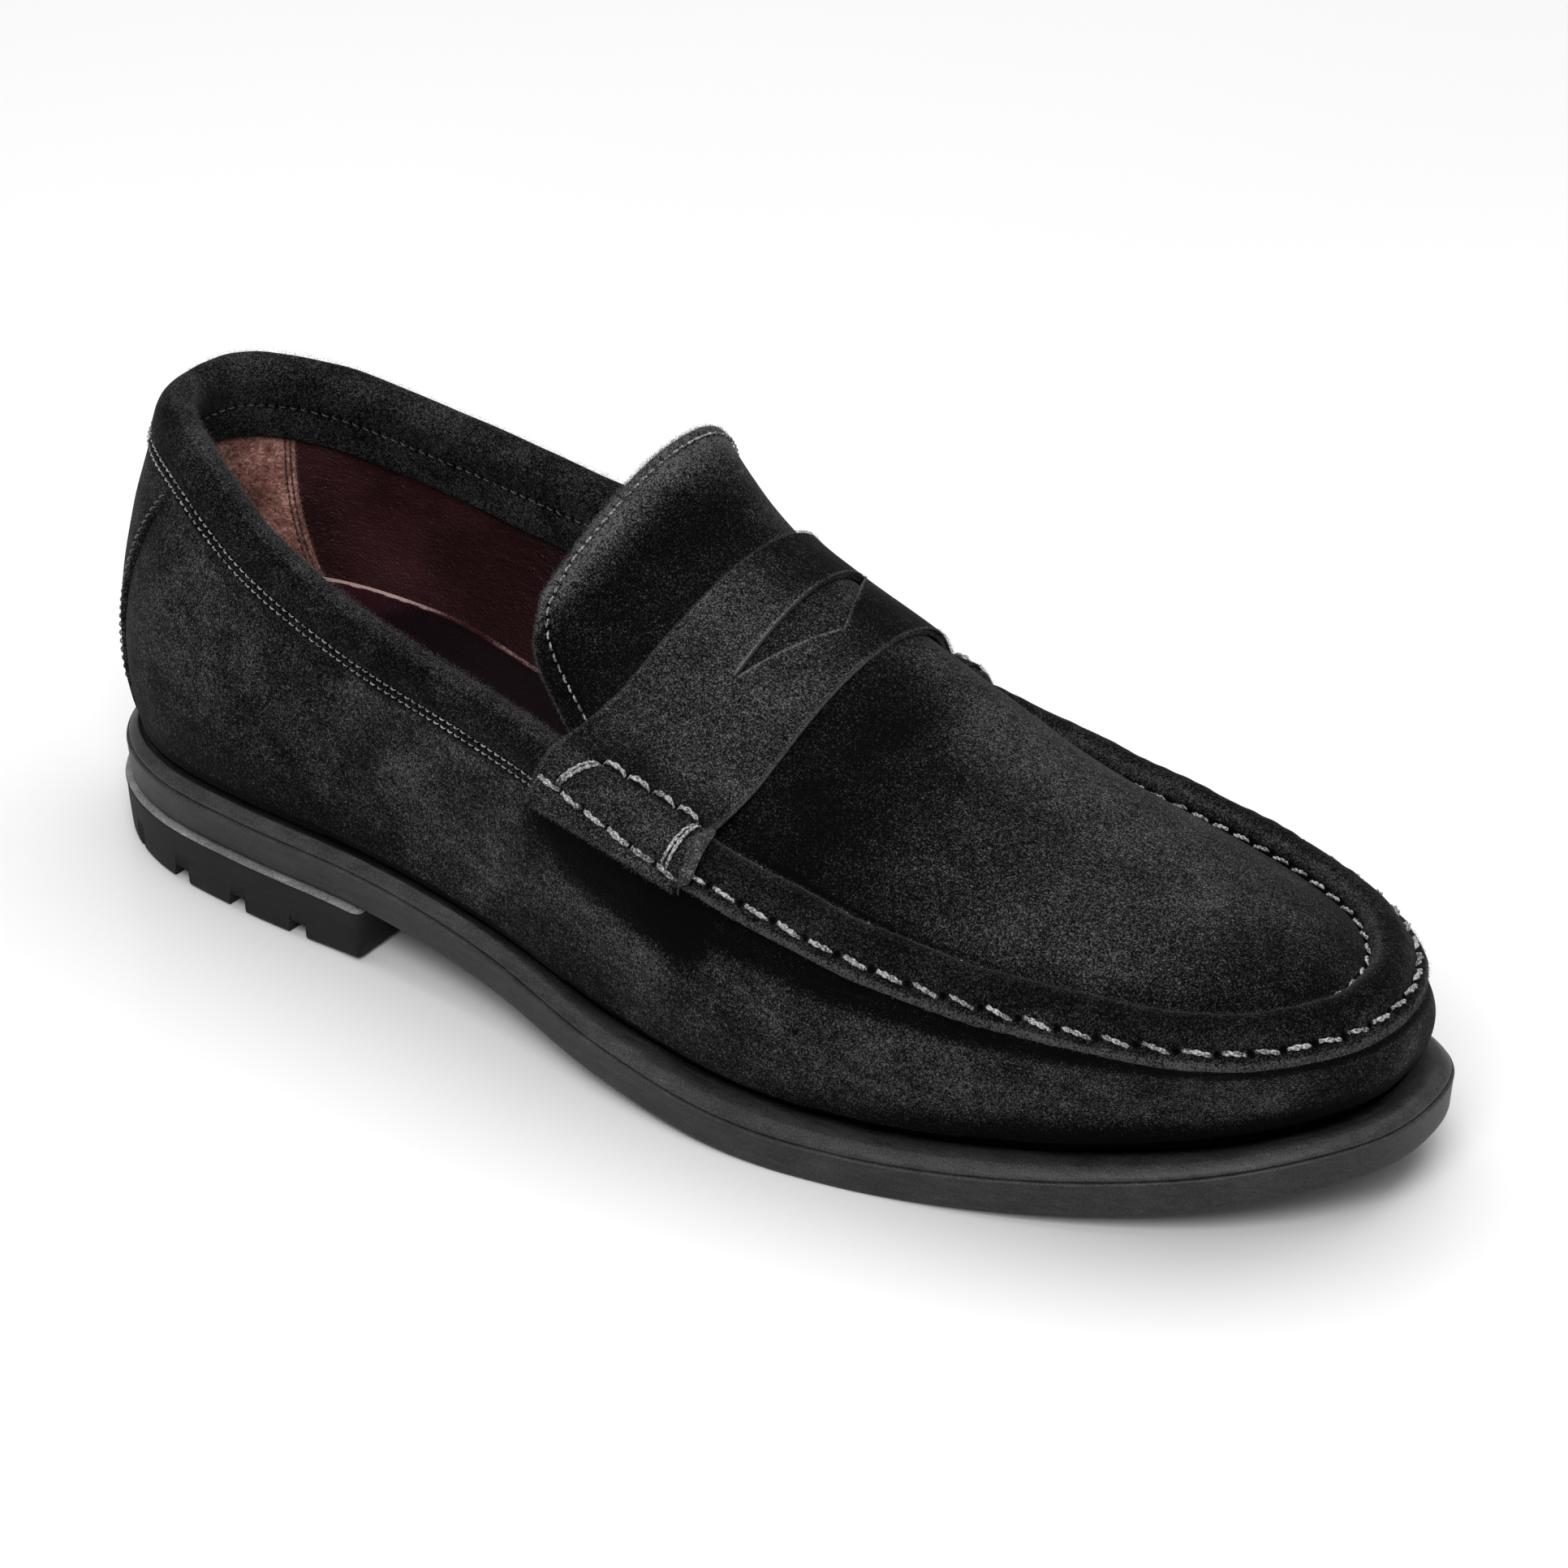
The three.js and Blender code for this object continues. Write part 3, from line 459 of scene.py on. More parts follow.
class Paint:
    """A material made of nodes. Sizes are in millimetres."""

    def __init__(self, name, roughness=0.8, specular=0.3):
        self.material = bpy.data.materials.new(name)
        self.material.use_nodes = True
        self.tree = self.material.node_tree
        self.tree.nodes.clear()
        out = self.node("ShaderNodeOutputMaterial")
        self.shader = self.node("ShaderNodeBsdfPrincipled")
        self.dial(self.shader, Roughness=roughness, Specular_IOR_Level=specular)
        self.link(self.shader.outputs[0], out.inputs["Surface"])
        self.place = self.node("ShaderNodeTexCoord").outputs["Object"]

    def node(self, kind):
        return self.tree.nodes.new(kind)

    def link(self, a, b):
        self.tree.links.new(a, b)

    def dial(self, node, **values):
        """Sets a node's own inputs. An underscore stands for a space in an input's name."""
        for key, value in values.items():
            node.inputs[key.replace("_", " ")].default_value = value

    def feed(self, socket, value):
        if isinstance(value, (int, float)):
            socket.default_value = value
        else:
            self.link(value, socket)

    def math(self, operation, a, b=0.0):
        n = self.node("ShaderNodeMath")
        n.operation = operation
        self.feed(n.inputs[0], a)
        self.feed(n.inputs[1], b)
        return n.outputs[0]

    def texture(self, kind, size, stretch=(1, 1, 1)):
        """A texture fixed to the object, its features about as large as size."""
        grow = self.node("ShaderNodeMapping")
        self.dial(grow, Scale=[1 / (MM * size * s) for s in stretch])
        self.link(self.place, grow.inputs["Vector"])
        n = self.node(kind)
        self.dial(n, Scale=1.0)
        self.link(grow.outputs["Vector"], n.inputs["Vector"])
        return n

    def noise(self, size, detail=2.0, rough=0.5, stretch=(1, 1, 1), warp=0.0):
        n = self.texture("ShaderNodeTexNoise", size, stretch)
        self.dial(n, Detail=detail, Roughness=rough, Distortion=warp)
        return n.outputs[0]

    def cells(self, size):
        n = self.texture("ShaderNodeTexVoronoi", size)
        n.feature = "DISTANCE_TO_EDGE"
        return n.outputs["Distance"]

    def tone(self):
        n = self.node("ShaderNodeAttribute")
        n.attribute_name = "tone"
        return n.outputs["Fac"]

    def sum(self, *parts):
        """Weighted sum of (value, weight) pairs."""
        total = self.math("MULTIPLY", *parts[0])
        for value, weight in parts[1:]:
            total = self.math("ADD", total, self.math("MULTIPLY", value, weight))
        return total

    def colours(self, value, *stops):
        """Stops are (position, (red, green, blue))."""
        n = self.node("ShaderNodeValToRGB")
        bar = n.color_ramp
        bar.interpolation = "EASE"
        while len(bar.elements) < len(stops):
            bar.elements.new(0.5)
        for element, (position, colour) in zip(bar.elements, stops):
            element.position = position
            element.color = (*colour, 1)
        self.link(value, n.inputs["Fac"])
        self.link(n.outputs["Color"], self.shader.inputs["Base Color"])

    def rough(self, value, low, high):
        n = self.node("ShaderNodeMapRange")
        self.dial(n, To_Min=low, To_Max=high)
        self.link(value, n.inputs["Value"])
        self.link(n.outputs[0], self.shader.inputs["Roughness"])

    def bump(self, *layers):
        """Layers are (height, depth in mm)."""
        last = None
        for height, depth in layers:
            n = self.node("ShaderNodeBump")
            self.dial(n, Strength=1.0, Distance=depth * MM)
            self.link(height, n.inputs["Height"])
            if last:
                self.link(last, n.inputs["Normal"])
            last = n.outputs["Normal"]
        self.link(last, self.shader.inputs["Normal"])

    def sheen(self, weight, roughness, tint):
        tint = (*tint, 1)
        self.dial(self.shader, Sheen_Weight=weight, Sheen_Roughness=roughness, Sheen_Tint=tint)


def grey(v, red=1.0, blue=1.0):
    return (v * red, v, v * blue)


FUZZ_SHARE = 0.22
GRAIN_SHARE = 0.52


def suede(name, dark, light, mottle, sheen=0.04, patch=26):
    """Black suede: brushed patches, a fuzzy grain and a few pale fibres."""
    p = Paint(name, 0.95, 0.02)
    patches = p.noise(patch, 3, 0.6, warp=0.7)
    strokes = p.noise(6, 3, 0.55, (1.6, 1, 0.7), 0.5)
    fuzz = p.noise(0.95, 3, 0.65)
    grain = p.noise(0.33, 1, 0.6)
    brushed = 0.55 * mottle
    middle = (mottle + brushed + FUZZ_SHARE + GRAIN_SHARE - 1) / 2
    # The tone attribute darkens the colour, as painted shade and brushed nap, and lightens it below
    # zero, as painted light.
    value = p.sum(
        (patches, mottle), (strokes, brushed), (fuzz, FUZZ_SHARE), (grain, GRAIN_SHARE),
        (p.tone(), -0.1), (middle, -1.0),
    )
    p.colours(
        value,
        (0.42, grey(dark)),
        (0.492, grey(dark * 0.6 + light * 0.25)),
        (0.558, grey(light, 0.99, 1.02)),
        (0.63, grey(light * 2.6, 0.99, 1.02)),
    )
    p.bump((strokes, 0.25), (fuzz, 0.18), (grain, 0.14))
    p.sheen(sheen, 0.35, (1, 1, 1))
    return p.material


def leather(name, dark, light, roughness, crease, gloss):
    """Grained leather. A tone of 1 marks its raw pale edge; smaller tones paint light above zero and
    shade below it.
    """
    p = Paint(name, roughness, gloss)
    clouds = p.noise(18, 3, 0.5)
    pores = p.cells(0.9)
    fine = p.noise(0.5, 2, 0.6)
    folds = p.noise(7, 3, 0.6, (2.4, 1, 1), 1.2)
    wrinkles = p.noise(1.9, 3, 0.6, (1.6, 1, 0.8), 1.5)
    p.colours(
        p.sum((clouds, 0.36), (fine, 0.18), (folds, 0.06), (p.tone(), 0.6)),
        (0.21, dark), (0.41, light), (0.75, light), (0.95, (0.5, 0.34, 0.31)),
    )
    p.rough(p.sum((clouds, 0.5), (fine, 0.5)), roughness - 0.08, roughness + 0.14)
    p.bump((folds, crease), (wrinkles, 0.24), (pores, 0.25), (fine, 0.06))
    return p.material


def rubber(name, dark, light, roughness=0.5):
    p = Paint(name, roughness, 0.3)
    clouds = p.noise(14, 3, 0.6)
    specks = p.noise(0.35, 2, 0.7)
    scuffs = p.noise(2.4, 3, 0.7, (5, 1, 0.5))
    value = p.sum((clouds, 0.3), (specks, 0.5), (scuffs, 0.25), (0.025, -1.0))
    p.colours(value, (0.41, grey(dark)), (0.57, grey(light)), (0.69, grey(light * 2.4)))
    p.rough(p.sum((clouds, 0.6), (specks, 0.4)), roughness - 0.1, roughness + 0.15)
    p.bump((scuffs, 0.06), (specks, 0.09))
    return p.material


def thread(name, dark, light):
    p = Paint(name, 0.45, 0.5)
    fibres = p.noise(0.42, 3, 0.65, (1, 1, 1), 0.5)
    drift = p.noise(5, 2, 0.5)
    p.colours(p.sum((fibres, 0.7), (drift, 0.3)), (0.42, dark), (0.60, light))
    p.bump((fibres, 0.12))
    p.sheen(0.2, 0.4, (1, 1, 1))
    return p.material


def plain_stock(name, dark, light, size, roughness, metal=0.0, depth=0.06):
    """Stock for what is hidden inside the shoe: board, cork, foam, stiffener and steel."""
    p = Paint(name, roughness, 0.3)
    coarse = p.noise(size, 4, 0.65)
    fine = p.noise(size / 6, 2, 0.6)
    p.shader.inputs["Metallic"].default_value = metal
    p.colours(p.sum((coarse, 0.6), (fine, 0.4)), (0.36, dark), (0.66, light))
    p.bump((coarse, depth), (fine, depth / 2))
    return p.material


WALL = suede("suede_wall", 0.002, 0.039, 0.22)
APRON = suede("suede_apron", 0.002, 0.040, 0.13)
STRAP = suede("suede_strap", 0.003, 0.042, 0.15)
COLLAR = suede("suede_collar", 0.0015, 0.024, 0.18, 0.05, 18)
ROLL = suede("suede_roll", 0.0015, 0.022, 0.13, 0.05, 14)
# Painted shade: near-black suede without sheen for the wall's foot, down in the welt's shadow.
CREVICE_SHADE = suede("suede_crevice_shade", 0.0004, 0.0012, 0.1, 0.0, 8)
RAW = suede("suede_raw_edge", 0.020, 0.085, 0.2, 0.2, 8)
FIBRE = suede("suede_fibre", 0.035, 0.11, 0.2, 0.25, 8)
LINE = leather("lining_leather", (0.020, 0.0055, 0.0065), (0.056, 0.0165, 0.0195), 0.4, 0.4, 0.4)
SOCK = leather("sock_leather", (0.005, 0.002, 0.0035), (0.030, 0.008, 0.011), 0.6, 0.5, 0.05)
SOLE = rubber("rubber_sole", 0.009, 0.027)
HEEL = rubber("rubber_heel", 0.003, 0.009, 0.75)
RIM = rubber("rubber_welt", 0.018, 0.046, 0.42)
# Painted highlight: pale rubber for the heel block's top edge, where its ledge catches the light.
LEDGE_HIGHLIGHT = rubber("rubber_ledge_highlight", 0.11, 0.24, 0.4)
HEAVY = thread("thread_heavy", grey(0.02), grey(0.50))
FINE = thread("thread_fine", grey(0.04), grey(0.42))
SHADE = thread("thread_inside", grey(0.02), grey(0.14))
BROWN = thread("thread_brown", (0.012, 0.007, 0.006), (0.06, 0.035, 0.03))


def nubuck():
    p = Paint("nubuck_grip", 0.9, 0.1)
    patches = p.noise(9, 3, 0.6, warp=0.8)
    tufts = p.noise(1.5, 3, 0.7, warp=1.5)
    grain = p.noise(0.4, 2, 0.6)
    value = p.sum((patches, 0.35), (tufts, 0.45), (grain, 0.2))
    p.colours(
        value,
        (0.40, (0.10, 0.036, 0.028)),
        (0.50, (0.36, 0.155, 0.125)),
        (0.60, (0.80, 0.45, 0.38)),
    )
    p.bump((tufts, 0.5), (grain, 0.12))
    p.sheen(0.25, 0.5, (1, 0.8, 0.75))
    return p.material


NUBUCK = nubuck()
STEEL = plain_stock("spring_steel", grey(0.35), grey(0.6), 3, 0.32, 1.0, 0.01)
BOARD = plain_stock("fibre_board", (0.20, 0.15, 0.09), (0.36, 0.28, 0.19), 4, 0.9)
CORK = plain_stock("cork", (0.09, 0.05, 0.025), (0.30, 0.19, 0.10), 2.5, 0.95, 0.0, 0.3)
FOAM = plain_stock("foam", (0.42, 0.39, 0.32), (0.62, 0.58, 0.50), 1.2, 0.95, 0.0, 0.2)
STIFF = plain_stock("stiffener", (0.33, 0.29, 0.23), (0.52, 0.47, 0.39), 3, 0.85)


# ---------------------------------------------------------------- sewing and nap


def along_path(path, normals, at):
    """Points, normals and directions at distances along a path."""
    step = np.linalg.norm(np.diff(path, axis=0), axis=1)
    run = np.concatenate([[0], np.cumsum(step)])
    place = np.stack([np.interp(at, run, path[:, k]) for k in range(3)], -1)
    up = unit(np.stack([np.interp(at, run, normals[:, k]) for k in range(3)], -1))
    ahead = np.stack([np.interp(at + 0.2, run, path[:, k]) for k in range(3)], -1)
    back = np.stack([np.interp(at - 0.2, run, path[:, k]) for k in range(3)], -1)
    return place, up, unit(ahead - back)


def path_length(path):
    return float(np.linalg.norm(np.diff(path, axis=0), axis=1).sum())


def stitch_ends(path, pitch):
    """Distances of the needle holes along a path."""
    count = max(int(round(path_length(path) / pitch)), 1)
    return np.linspace(0, path_length(path), count + 1)


RINGS = 11
SIDES = 7
PLIES = 2
PLY_APART = 0.52
PLY_SIZE = 0.62
TWIST_LENGTH = 9


def stitches(path, normals, pitch, radius, lift, fill, slant=0.0, seed=1):
    """Thread between the needle holes: twisted plies that dive into the leather at each hole."""
    source = np.random.default_rng(seed)
    ends = stitch_ends(path, pitch)
    gap = (1 - fill) * np.diff(ends)[0]
    t = np.linspace(0, 1, RINGS)
    at = (ends[:-1, None] + gap / 2) + (np.diff(ends)[:, None] - gap) * t
    place, up, ahead = along_path(path, normals, at)
    side = unit(np.cross(ahead, up))
    count = len(ends) - 1
    arch = np.sin(np.pi * t)
    wave = arch**0.35
    rise = (lift + radius) * wave - 1.5 * radius * (1 - wave)
    place = place + up * rise[None, :, None]
    lean = slant + source.normal(0, 0.05, count)[:, None]
    place = place + side * (lean * (t - 0.5))[..., None] * pitch
    phase = source.uniform(0, 2 * math.pi, count)[:, None]
    twist = 2 * math.pi * pitch / (radius * TWIST_LENGTH)
    uneven = source.normal(1, 0.06, count)[:, None]
    thick = radius * (0.55 + 0.45 * arch**0.4) * uneven
    a = np.linspace(0, 2 * math.pi, SIDES, endpoint=False)[:, None]
    parts = []
    for ply in range(PLIES):
        angle = phase + twist * t + 2 * math.pi * ply / PLIES
        around = up * np.cos(angle)[..., None] + side * np.sin(angle)[..., None]
        centre = place + around * (PLY_APART * thick)[..., None]
        rim = up[:, :, None] * np.cos(a) + side[:, :, None] * np.sin(a)
        parts.append(centre[:, :, None] + rim * (PLY_SIZE * thick)[:, :, None, None])
    return np.concatenate(parts).reshape(-1, RINGS, SIDES, 3)


def thread_piece(name, material, nodes, *tube_sets):
    tubes = np.concatenate(tube_sets)
    faces = []
    for start in range(0, len(tubes) * RINGS * SIDES, RINGS * SIDES):
        end = start + RINGS * SIDES
        faces += grid_faces(RINGS, SIDES, tube=True, start=start)
        faces.append(list(range(start, start + SIDES)))
        faces.append(list(range(end - SIDES, end))[::-1])
    put(mesh_object(name, tubes, faces), material, "thread", *nodes)


FIBRE_WIDE = 0.035
NAP_STRAY = 0.55


def fibres(name, material, slot, *edges):
    """Nap that stands off raw edges. Each edge is (path, direction, count, length, spread)."""
    roots = []
    tips = []
    for path, direction, count, length, spread in edges:
        at = rng.uniform(0, path_length(path), count)
        place, way, _ = along_path(path, direction, at)
        aim = unit(way + rng.normal(0, NAP_STRAY, (count, 3)))
        place = place + rng.normal(0, spread, (count, 3)) - way * 0.1
        roots.append(place)
        tips.append(place + aim * length * rng.uniform(0.3, 1, count)[:, None])
    root = np.concatenate(roots)
    tip = np.concatenate(tips)
    aim = unit(tip - root)
    side = unit(np.cross(aim, rng.normal(size=root.shape)))
    other = np.cross(aim, side)
    a = root + side * FIBRE_WIDE
    b = root - side * FIBRE_WIDE / 2 + other * FIBRE_WIDE
    c = root - side * FIBRE_WIDE / 2 - other * FIBRE_WIDE
    points = np.stack([a, b, c, tip], 1).reshape(-1, 3)
    base = (4 * np.arange(len(root)))[:, None]
    sides = [base + np.array(f) for f in ([0, 1, 3], [1, 2, 3], [2, 0, 3], [2, 1, 0])]
    faces = np.concatenate(sides).tolist()
    return put(mesh_object(name, points, faces), material, slot)


def holes_of(path, normals, pitch):
    return along_path(path, normals, stitch_ends(path, pitch))[0]


# ---------------------------------------------------------------- sole

LOOP = 600
HALF = LOOP // 2
CELLS = 12
loop_stations = np.arange(LOOP) * STATIONS / LOOP


def sole_slab(name, profile):
    """A ring round the sole whose first and last points are joined across the shoe."""
    inset, height = (np.array(column) for column in zip(*profile))
    ring = sole_inset(loop_stations[:, None], inset[None, :], 0)
    ring[..., 2] = underside(ring[..., 0]) + height
    count = len(profile)
    points = [ring.reshape(-1, 3)]
    faces = grid_faces(LOOP, count, ring=True)
    start = LOOP * count
    left = np.arange(1, HALF)
    right = LOOP - left
    f = np.linspace(0, 1, CELLS + 1)[1:-1][None, :, None]
    for j in (0, count - 1):
        inside = ring[left, j][:, None] * (1 - f) + ring[right, j][:, None] * f
        inside[..., 2] = underside(inside[..., 0]) + height[j]
        points.append(inside.reshape(-1, 3))
        middle = start + np.arange(len(left) * (CELLS - 1)).reshape(-1, CELLS - 1)
        index = np.column_stack([left * count + j, middle, right * count + j])
        for a, b in zip(index[:-1], index[1:]):
            faces += [(a[k], b[k], b[k + 1], a[k + 1]) for k in range(CELLS)]
        for tip, row in ((0, index[0]), (HALF, index[-1])):
            faces += [(tip * count + j, row[k], row[k + 1]) for k in range(CELLS)]
        start += middle.size
    return turned_outward(mesh_object(name, np.concatenate(points), faces))


SOLE_HIGHLIGHT_FROM = 6.95
RIM_TOP = 2.72
RIM_GAP = 0.85
TOE_GAP = 1.9


def make_outsole():
    profile = [
        (9, 0), (5, 0), (2.2, 0), (1.2, 0.08), (0.75, 0.35), (0.6, 0.9), (0.5, 2.2), (0.3, 4.4),
        (0.1, 6.4), (0.0, 6.95), (0.06, 7.22), (0.25, 7.38), (0.6, 7.4), (5, 7.4), (9, 7.4),
    ]
    obj = sole_slab("sole_body", profile)
    put(obj, SOLE, "sole_rubber", "outsole", second=RIM)
    # The outsole's rounded top corner gets the lighter welt rubber: a painted highlight line.
    mark(obj, lambda p: p[:, 2] - underside(p[:, 0]) > SOLE_HIGHLIGHT_FROM)


def make_welt():
    """The bevelled rim. Its inner side follows the groove that the wall stands in."""
    inner = [(9, 0.6), (3, 0.6), (0.7, 0.65), (0, 0.9), (-0.75, 2.45), (-1, RIM_TOP)]
    outer = [
        (2.75, RIM_TOP), (2.35, 2.5), (1.4, 1.75), (0.85, 1.05), (0.6, 0.72), (0.62, 0.3),
        (0.7, 0.04), (5, 0.1), (13, 0.3),
    ]
    groove = feather_inset(loop_stations)[:, None]
    tip = ramp(118, 146, sole_edge(loop_stations)[:, :1])
    gap = RIM_GAP + 0.16 * (groove - HEEL_GROOVE) + TOE_GAP * tip
    inward = np.array([i for i, _ in inner])
    near = groove + np.where(inward < 0, inward * gap, inward)
    insets = np.concatenate([near, 0 * groove + [i for i, _ in outer]], 1)
    last = len(inner) - 1
    for k, clear in ((last + 1, 0.15), (last + 2, 0.4)):
        insets[:, k] = np.minimum(insets[:, k], insets[:, last] - clear)
    ring = sole_inset(loop_stations[:, None], insets, 0)
    ring[..., 2] += np.array([h for _, h in inner + outer]) + ripple(ring, 60, 0.05, 5)
    obj = mesh_object("welt_rim", ring, grid_faces(LOOP, ring.shape[1], ring=True, tube=True))
    put(turned_outward(obj), RIM, "welt_rubber", "welt")


HEEL_END = 4.02
HEEL_TALL = 12.66
LEDGE_FROM = 11
HIGHLIGHT_TALL = 0.8
NOTCHES = (-134, -117.5, -101, -84.5)
NOTCH_WIDE = 4.0
NOTCH_TALL = 7.2
NOTCH_DEEP = 21
NOTCH_MIDDLE = 36
NOTCH_LEAN = 1.2


def heel_outline():
    """The heel block seen from above with eased corners, and the way out of it."""
    sweep = sole_inset(np.linspace(-HEEL_END, HEEL_END, 240), 0, 0)
    breast = np.linspace(sweep[-1], sweep[0], 60)[1:-1]
    outline = np.concatenate([sweep, breast])[:, :2]
    for _ in range(2):
        outline = (np.roll(outline, 1, 0) + outline + np.roll(outline, -1, 0)) / 3
    run = np.roll(outline, -1, 0) - np.roll(outline, 1, 0)
    return outline, unit(np.stack([run[:, 1], -run[:, 0]], -1))


def notch_cutters():
    """Wedges that widen downward, one on each side at every notch."""
    shift = SHIFT * MM
    cutters = bmesh.new()
    for x in NOTCHES:
        for side in (-1, 1):
            for v in bmesh.ops.create_cube(cutters, size=1)["verts"]:
                wide = NOTCH_WIDE if v.co.z > 0 else 1.5 * NOTCH_WIDE
                v.co.x = (x + v.co.x * wide + NOTCH_LEAN * v.co.z) * MM + shift[0]
                v.co.y = (side * NOTCH_MIDDLE + v.co.y * NOTCH_DEEP) * MM + shift[1]
                v.co.z = v.co.z * NOTCH_TALL * MM
    mesh = bpy.data.meshes.new("notches")
    cutters.to_mesh(mesh)
    cutters.free()
    return linked("notches", mesh)


def make_heel():
    outline, out = heel_outline()
    profile = [
        (5, 0), (2.4, 0), (1.3, 0.15), (0.8, 0.5), (0.6, 1.2), (0.35, 3.5), (0.0, 7), (-0.3, 10.8),
        (-0.5, 11.6), (-0.4, 12.0), (-0.1, 12.35), (0.4, 12.6), (2.5, HEEL_TALL),
    ]
    rows = []
    for inset, height in profile:
        x, y = (outline - out * inset).T
        roof = underside(x) - GAP
        front_lift = 0.6 * ramp(-86, -64, x) * (height < 1)
        back_lift = 1.6 * fade(-150, -138, x) * (1 - height / 12.7) ** 3
        level = np.minimum(height + (front_lift + back_lift), roof)
        if height > LEDGE_FROM:
            level = roof - (HEEL_TALL - height)
        rows.append(vec(x, y, level))
    grid = np.stack(rows, 1)
    count, steps = grid.shape[:2]
    faces = grid_faces(count, steps, ring=True)
    faces += [[i * steps + end for i in range(count)] for end in (0, steps - 1)]
    obj = turned_outward(mesh_object("heel_stack", grid, faces))
    tool = notch_cutters()
    cut = obj.modifiers.new("notches", "BOOLEAN")
    cut.object = tool
    cut.solver = "EXACT"
    rounded(obj, 0.3, 2, 50)
    bpy.data.objects.remove(tool)
    put(obj, HEEL, "sole_rubber", "heel_block", second=LEDGE_HIGHLIGHT)
    # The heel block's top edge gets the pale rubber of the painted highlight.
    mark(obj, lambda p: p[:, 2] > underside(p[:, 0]) - HIGHLIGHT_TALL)


INSOLE_TOP = FEATHER_HEIGHT + SUEDE + GAP + INSOLE_THICK


def pad_base(x):
    return sole_top(x) + INSOLE_TOP + GAP + 1.1 * fade(-85, -60, x)


def pad_thick(x):
    return 1.6 + 6.4 * fade(-95, -5, x)


def cup(x, side):
    return 4.5 * fade(-90, 20, x) * side**3


def foot_grid():
    """A grid over the inside of the shoe, and how far each point lies from its middle, 0 to 1."""
    s = np.linspace(0.2, 11.7, 320)
    inset = feather_inset(s) + SUEDE + STIFFENER + LINING + 5 * GAP
    outer = sole_inset(s, inset, 0)
    inner = sole_inset(STATIONS - s, inset, 0)
    f = (1 - np.cos(np.linspace(0, math.pi, 121))) / 2
    grid = outer[:, None] + (inner - outer)[:, None] * f[None, :, None]
    side = np.broadcast_to(np.abs(2 * f - 1), grid.shape[:2])
    return grid, side


def make_footbed():
    low, side = foot_grid()
    x = low[..., 0]
    low[..., 2] = pad_base(x)
    top = low.copy()
    top[..., 2] = pad_base(x) + pad_thick(x) + cup(x, side)
    pad = closed_piece("footbed_pad", np.concatenate([top, low[:, ::-1]], 1))
    put(pad, FOAM, "foam", "footbed_foam")
    sock = top + vec(0, 0, GAP + 1.2)
    edge = ramp(0.93, 1, side)
    sock[..., 2] += 0.9 * edge * fade(-20, 60, x) + ripple(sock, 26, 0.22, 11)
    raw = ramp(0.972, 0.979, side + 0.003 * ripple(sock, 4, 1, 12))
    # Painted shade on the sock toward its toe, deep in the shoe, and a little painted light at its
    # heel end.
    painted_shading = 0.08 - 0.32 * ramp(-118, -76, x)
    up = vec(0, 0, 1) * np.ones_like(sock)
    obj = sheet_piece("sock_leather", sock, up, 1.1, 0.4, raw + painted_shading)
    put(obj, SOCK, "sock_leather", "sock_liner")


# ---------------------------------------------------------------- upper

WALL_DROP = 3
WALL_ROWS = 92


def drop_heights(low, count):
    """Heights from low up to just under the wall's top, for each station."""
    t = np.linspace(0, 1, count)[None, :]
    return lambda s: low + (below(s, WALL_DROP)[:, None] - low) * t


def make_wall():
    s = np.linspace(0.03, STATIONS - 0.03, 760)
    upper = wall_at(s[:, None], drop_heights(0.0, WALL_ROWS)(s), 0)
    turned = [sole_inset(s, feather_inset(s) + inset, FEATHER_HEIGHT) for inset in TURNED_IN]
    grid = np.concatenate([np.stack(turned, 1), upper], 1)
    flat = [0] * len(TURNED_IN)
    middle = wall_normal(s[:, None], np.array([[0.5]]))
    normals = grid_normals(grid, slice(len(flat), None), middle)
    soft = np.concatenate([flat, np.minimum(np.arange(WALL_ROWS) / 9, 1)])[None, :]
    waves = ripple(grid, 38, 0.28, 2) + ripple(grid, 12, 0.08, 3)
    grid = grid + normals * (waves * soft)[..., None]
    h = np.concatenate([flat, np.linspace(0, 1, WALL_ROWS)])[None, :]
    s = s[:, None]
    # The wall's tone paints shade: under the seam's lip, over the lower wall and more at the toe, a
    # black band at its foot, and under the saddle's lip.
    shade_under_lip = ramp(0.78, 0.88, h) * frontness(s) * 1.3
    toe = ramp(7, 9.2, s) * fade(13, 14, s)
    foot = fade(0.0, 0.42, h) * (0.4 + 2.2 * toe) + 6 * fade(0.015, 0.06, h)
    saddle = ramp(5.3, 5.75, s) * fade(6.5, 6.9, s) * ramp(0.58, 0.8, h) * 2.4
    obj = sheet_piece("wall_suede", grid, normals, SUEDE, 0.25, shade_under_lip + foot + saddle)
    # The wall's foot takes the second material, near-black painted shade.
    put(obj, WALL, "suede", "moccasin_wall", second=CREVICE_SHADE)
    mark(obj, in_crevice)


def in_crevice(p):
    """The foot of the wall, which the welt's rim keeps in the dark, wider toward the toe: the faces
    that get the painted-shade suede.
    """
    height = p[:, 2] - sole_top(p[:, 0]) - FEATHER_HEIGHT
    return height < 0.7 + 0.8 * ramp(-60, 40, p[:, 0]) + 0.5 * ramp(60, 130, p[:, 0])


LINING_OFFSET = -SUEDE - STIFFENER - 2 * GAP


def lining_sheet(name, s, h, depth, material, slot, node, holes=()):
    """A sheet inside the shoe, its face at a depth from the wall's outer face."""
    grid = wall_at(s, h, -depth)
    inward = -wall_normal(s, h)
    grid = grid - inward * (np.abs(ripple(grid, 30, 0.1, 21)))[..., None]
    for centres in holes:
        grid = dimple(grid, inward, centres, 0.5, 0.35)
    # Painted shade on the inner lining toward the tongue.
    painted_shading = -0.3 * fade(19.2, 21.6, s) * ramp(17, 18, s)
    put(sheet_piece(name, grid, inward, 0.7, 0.2, painted_shading), material, slot, node)


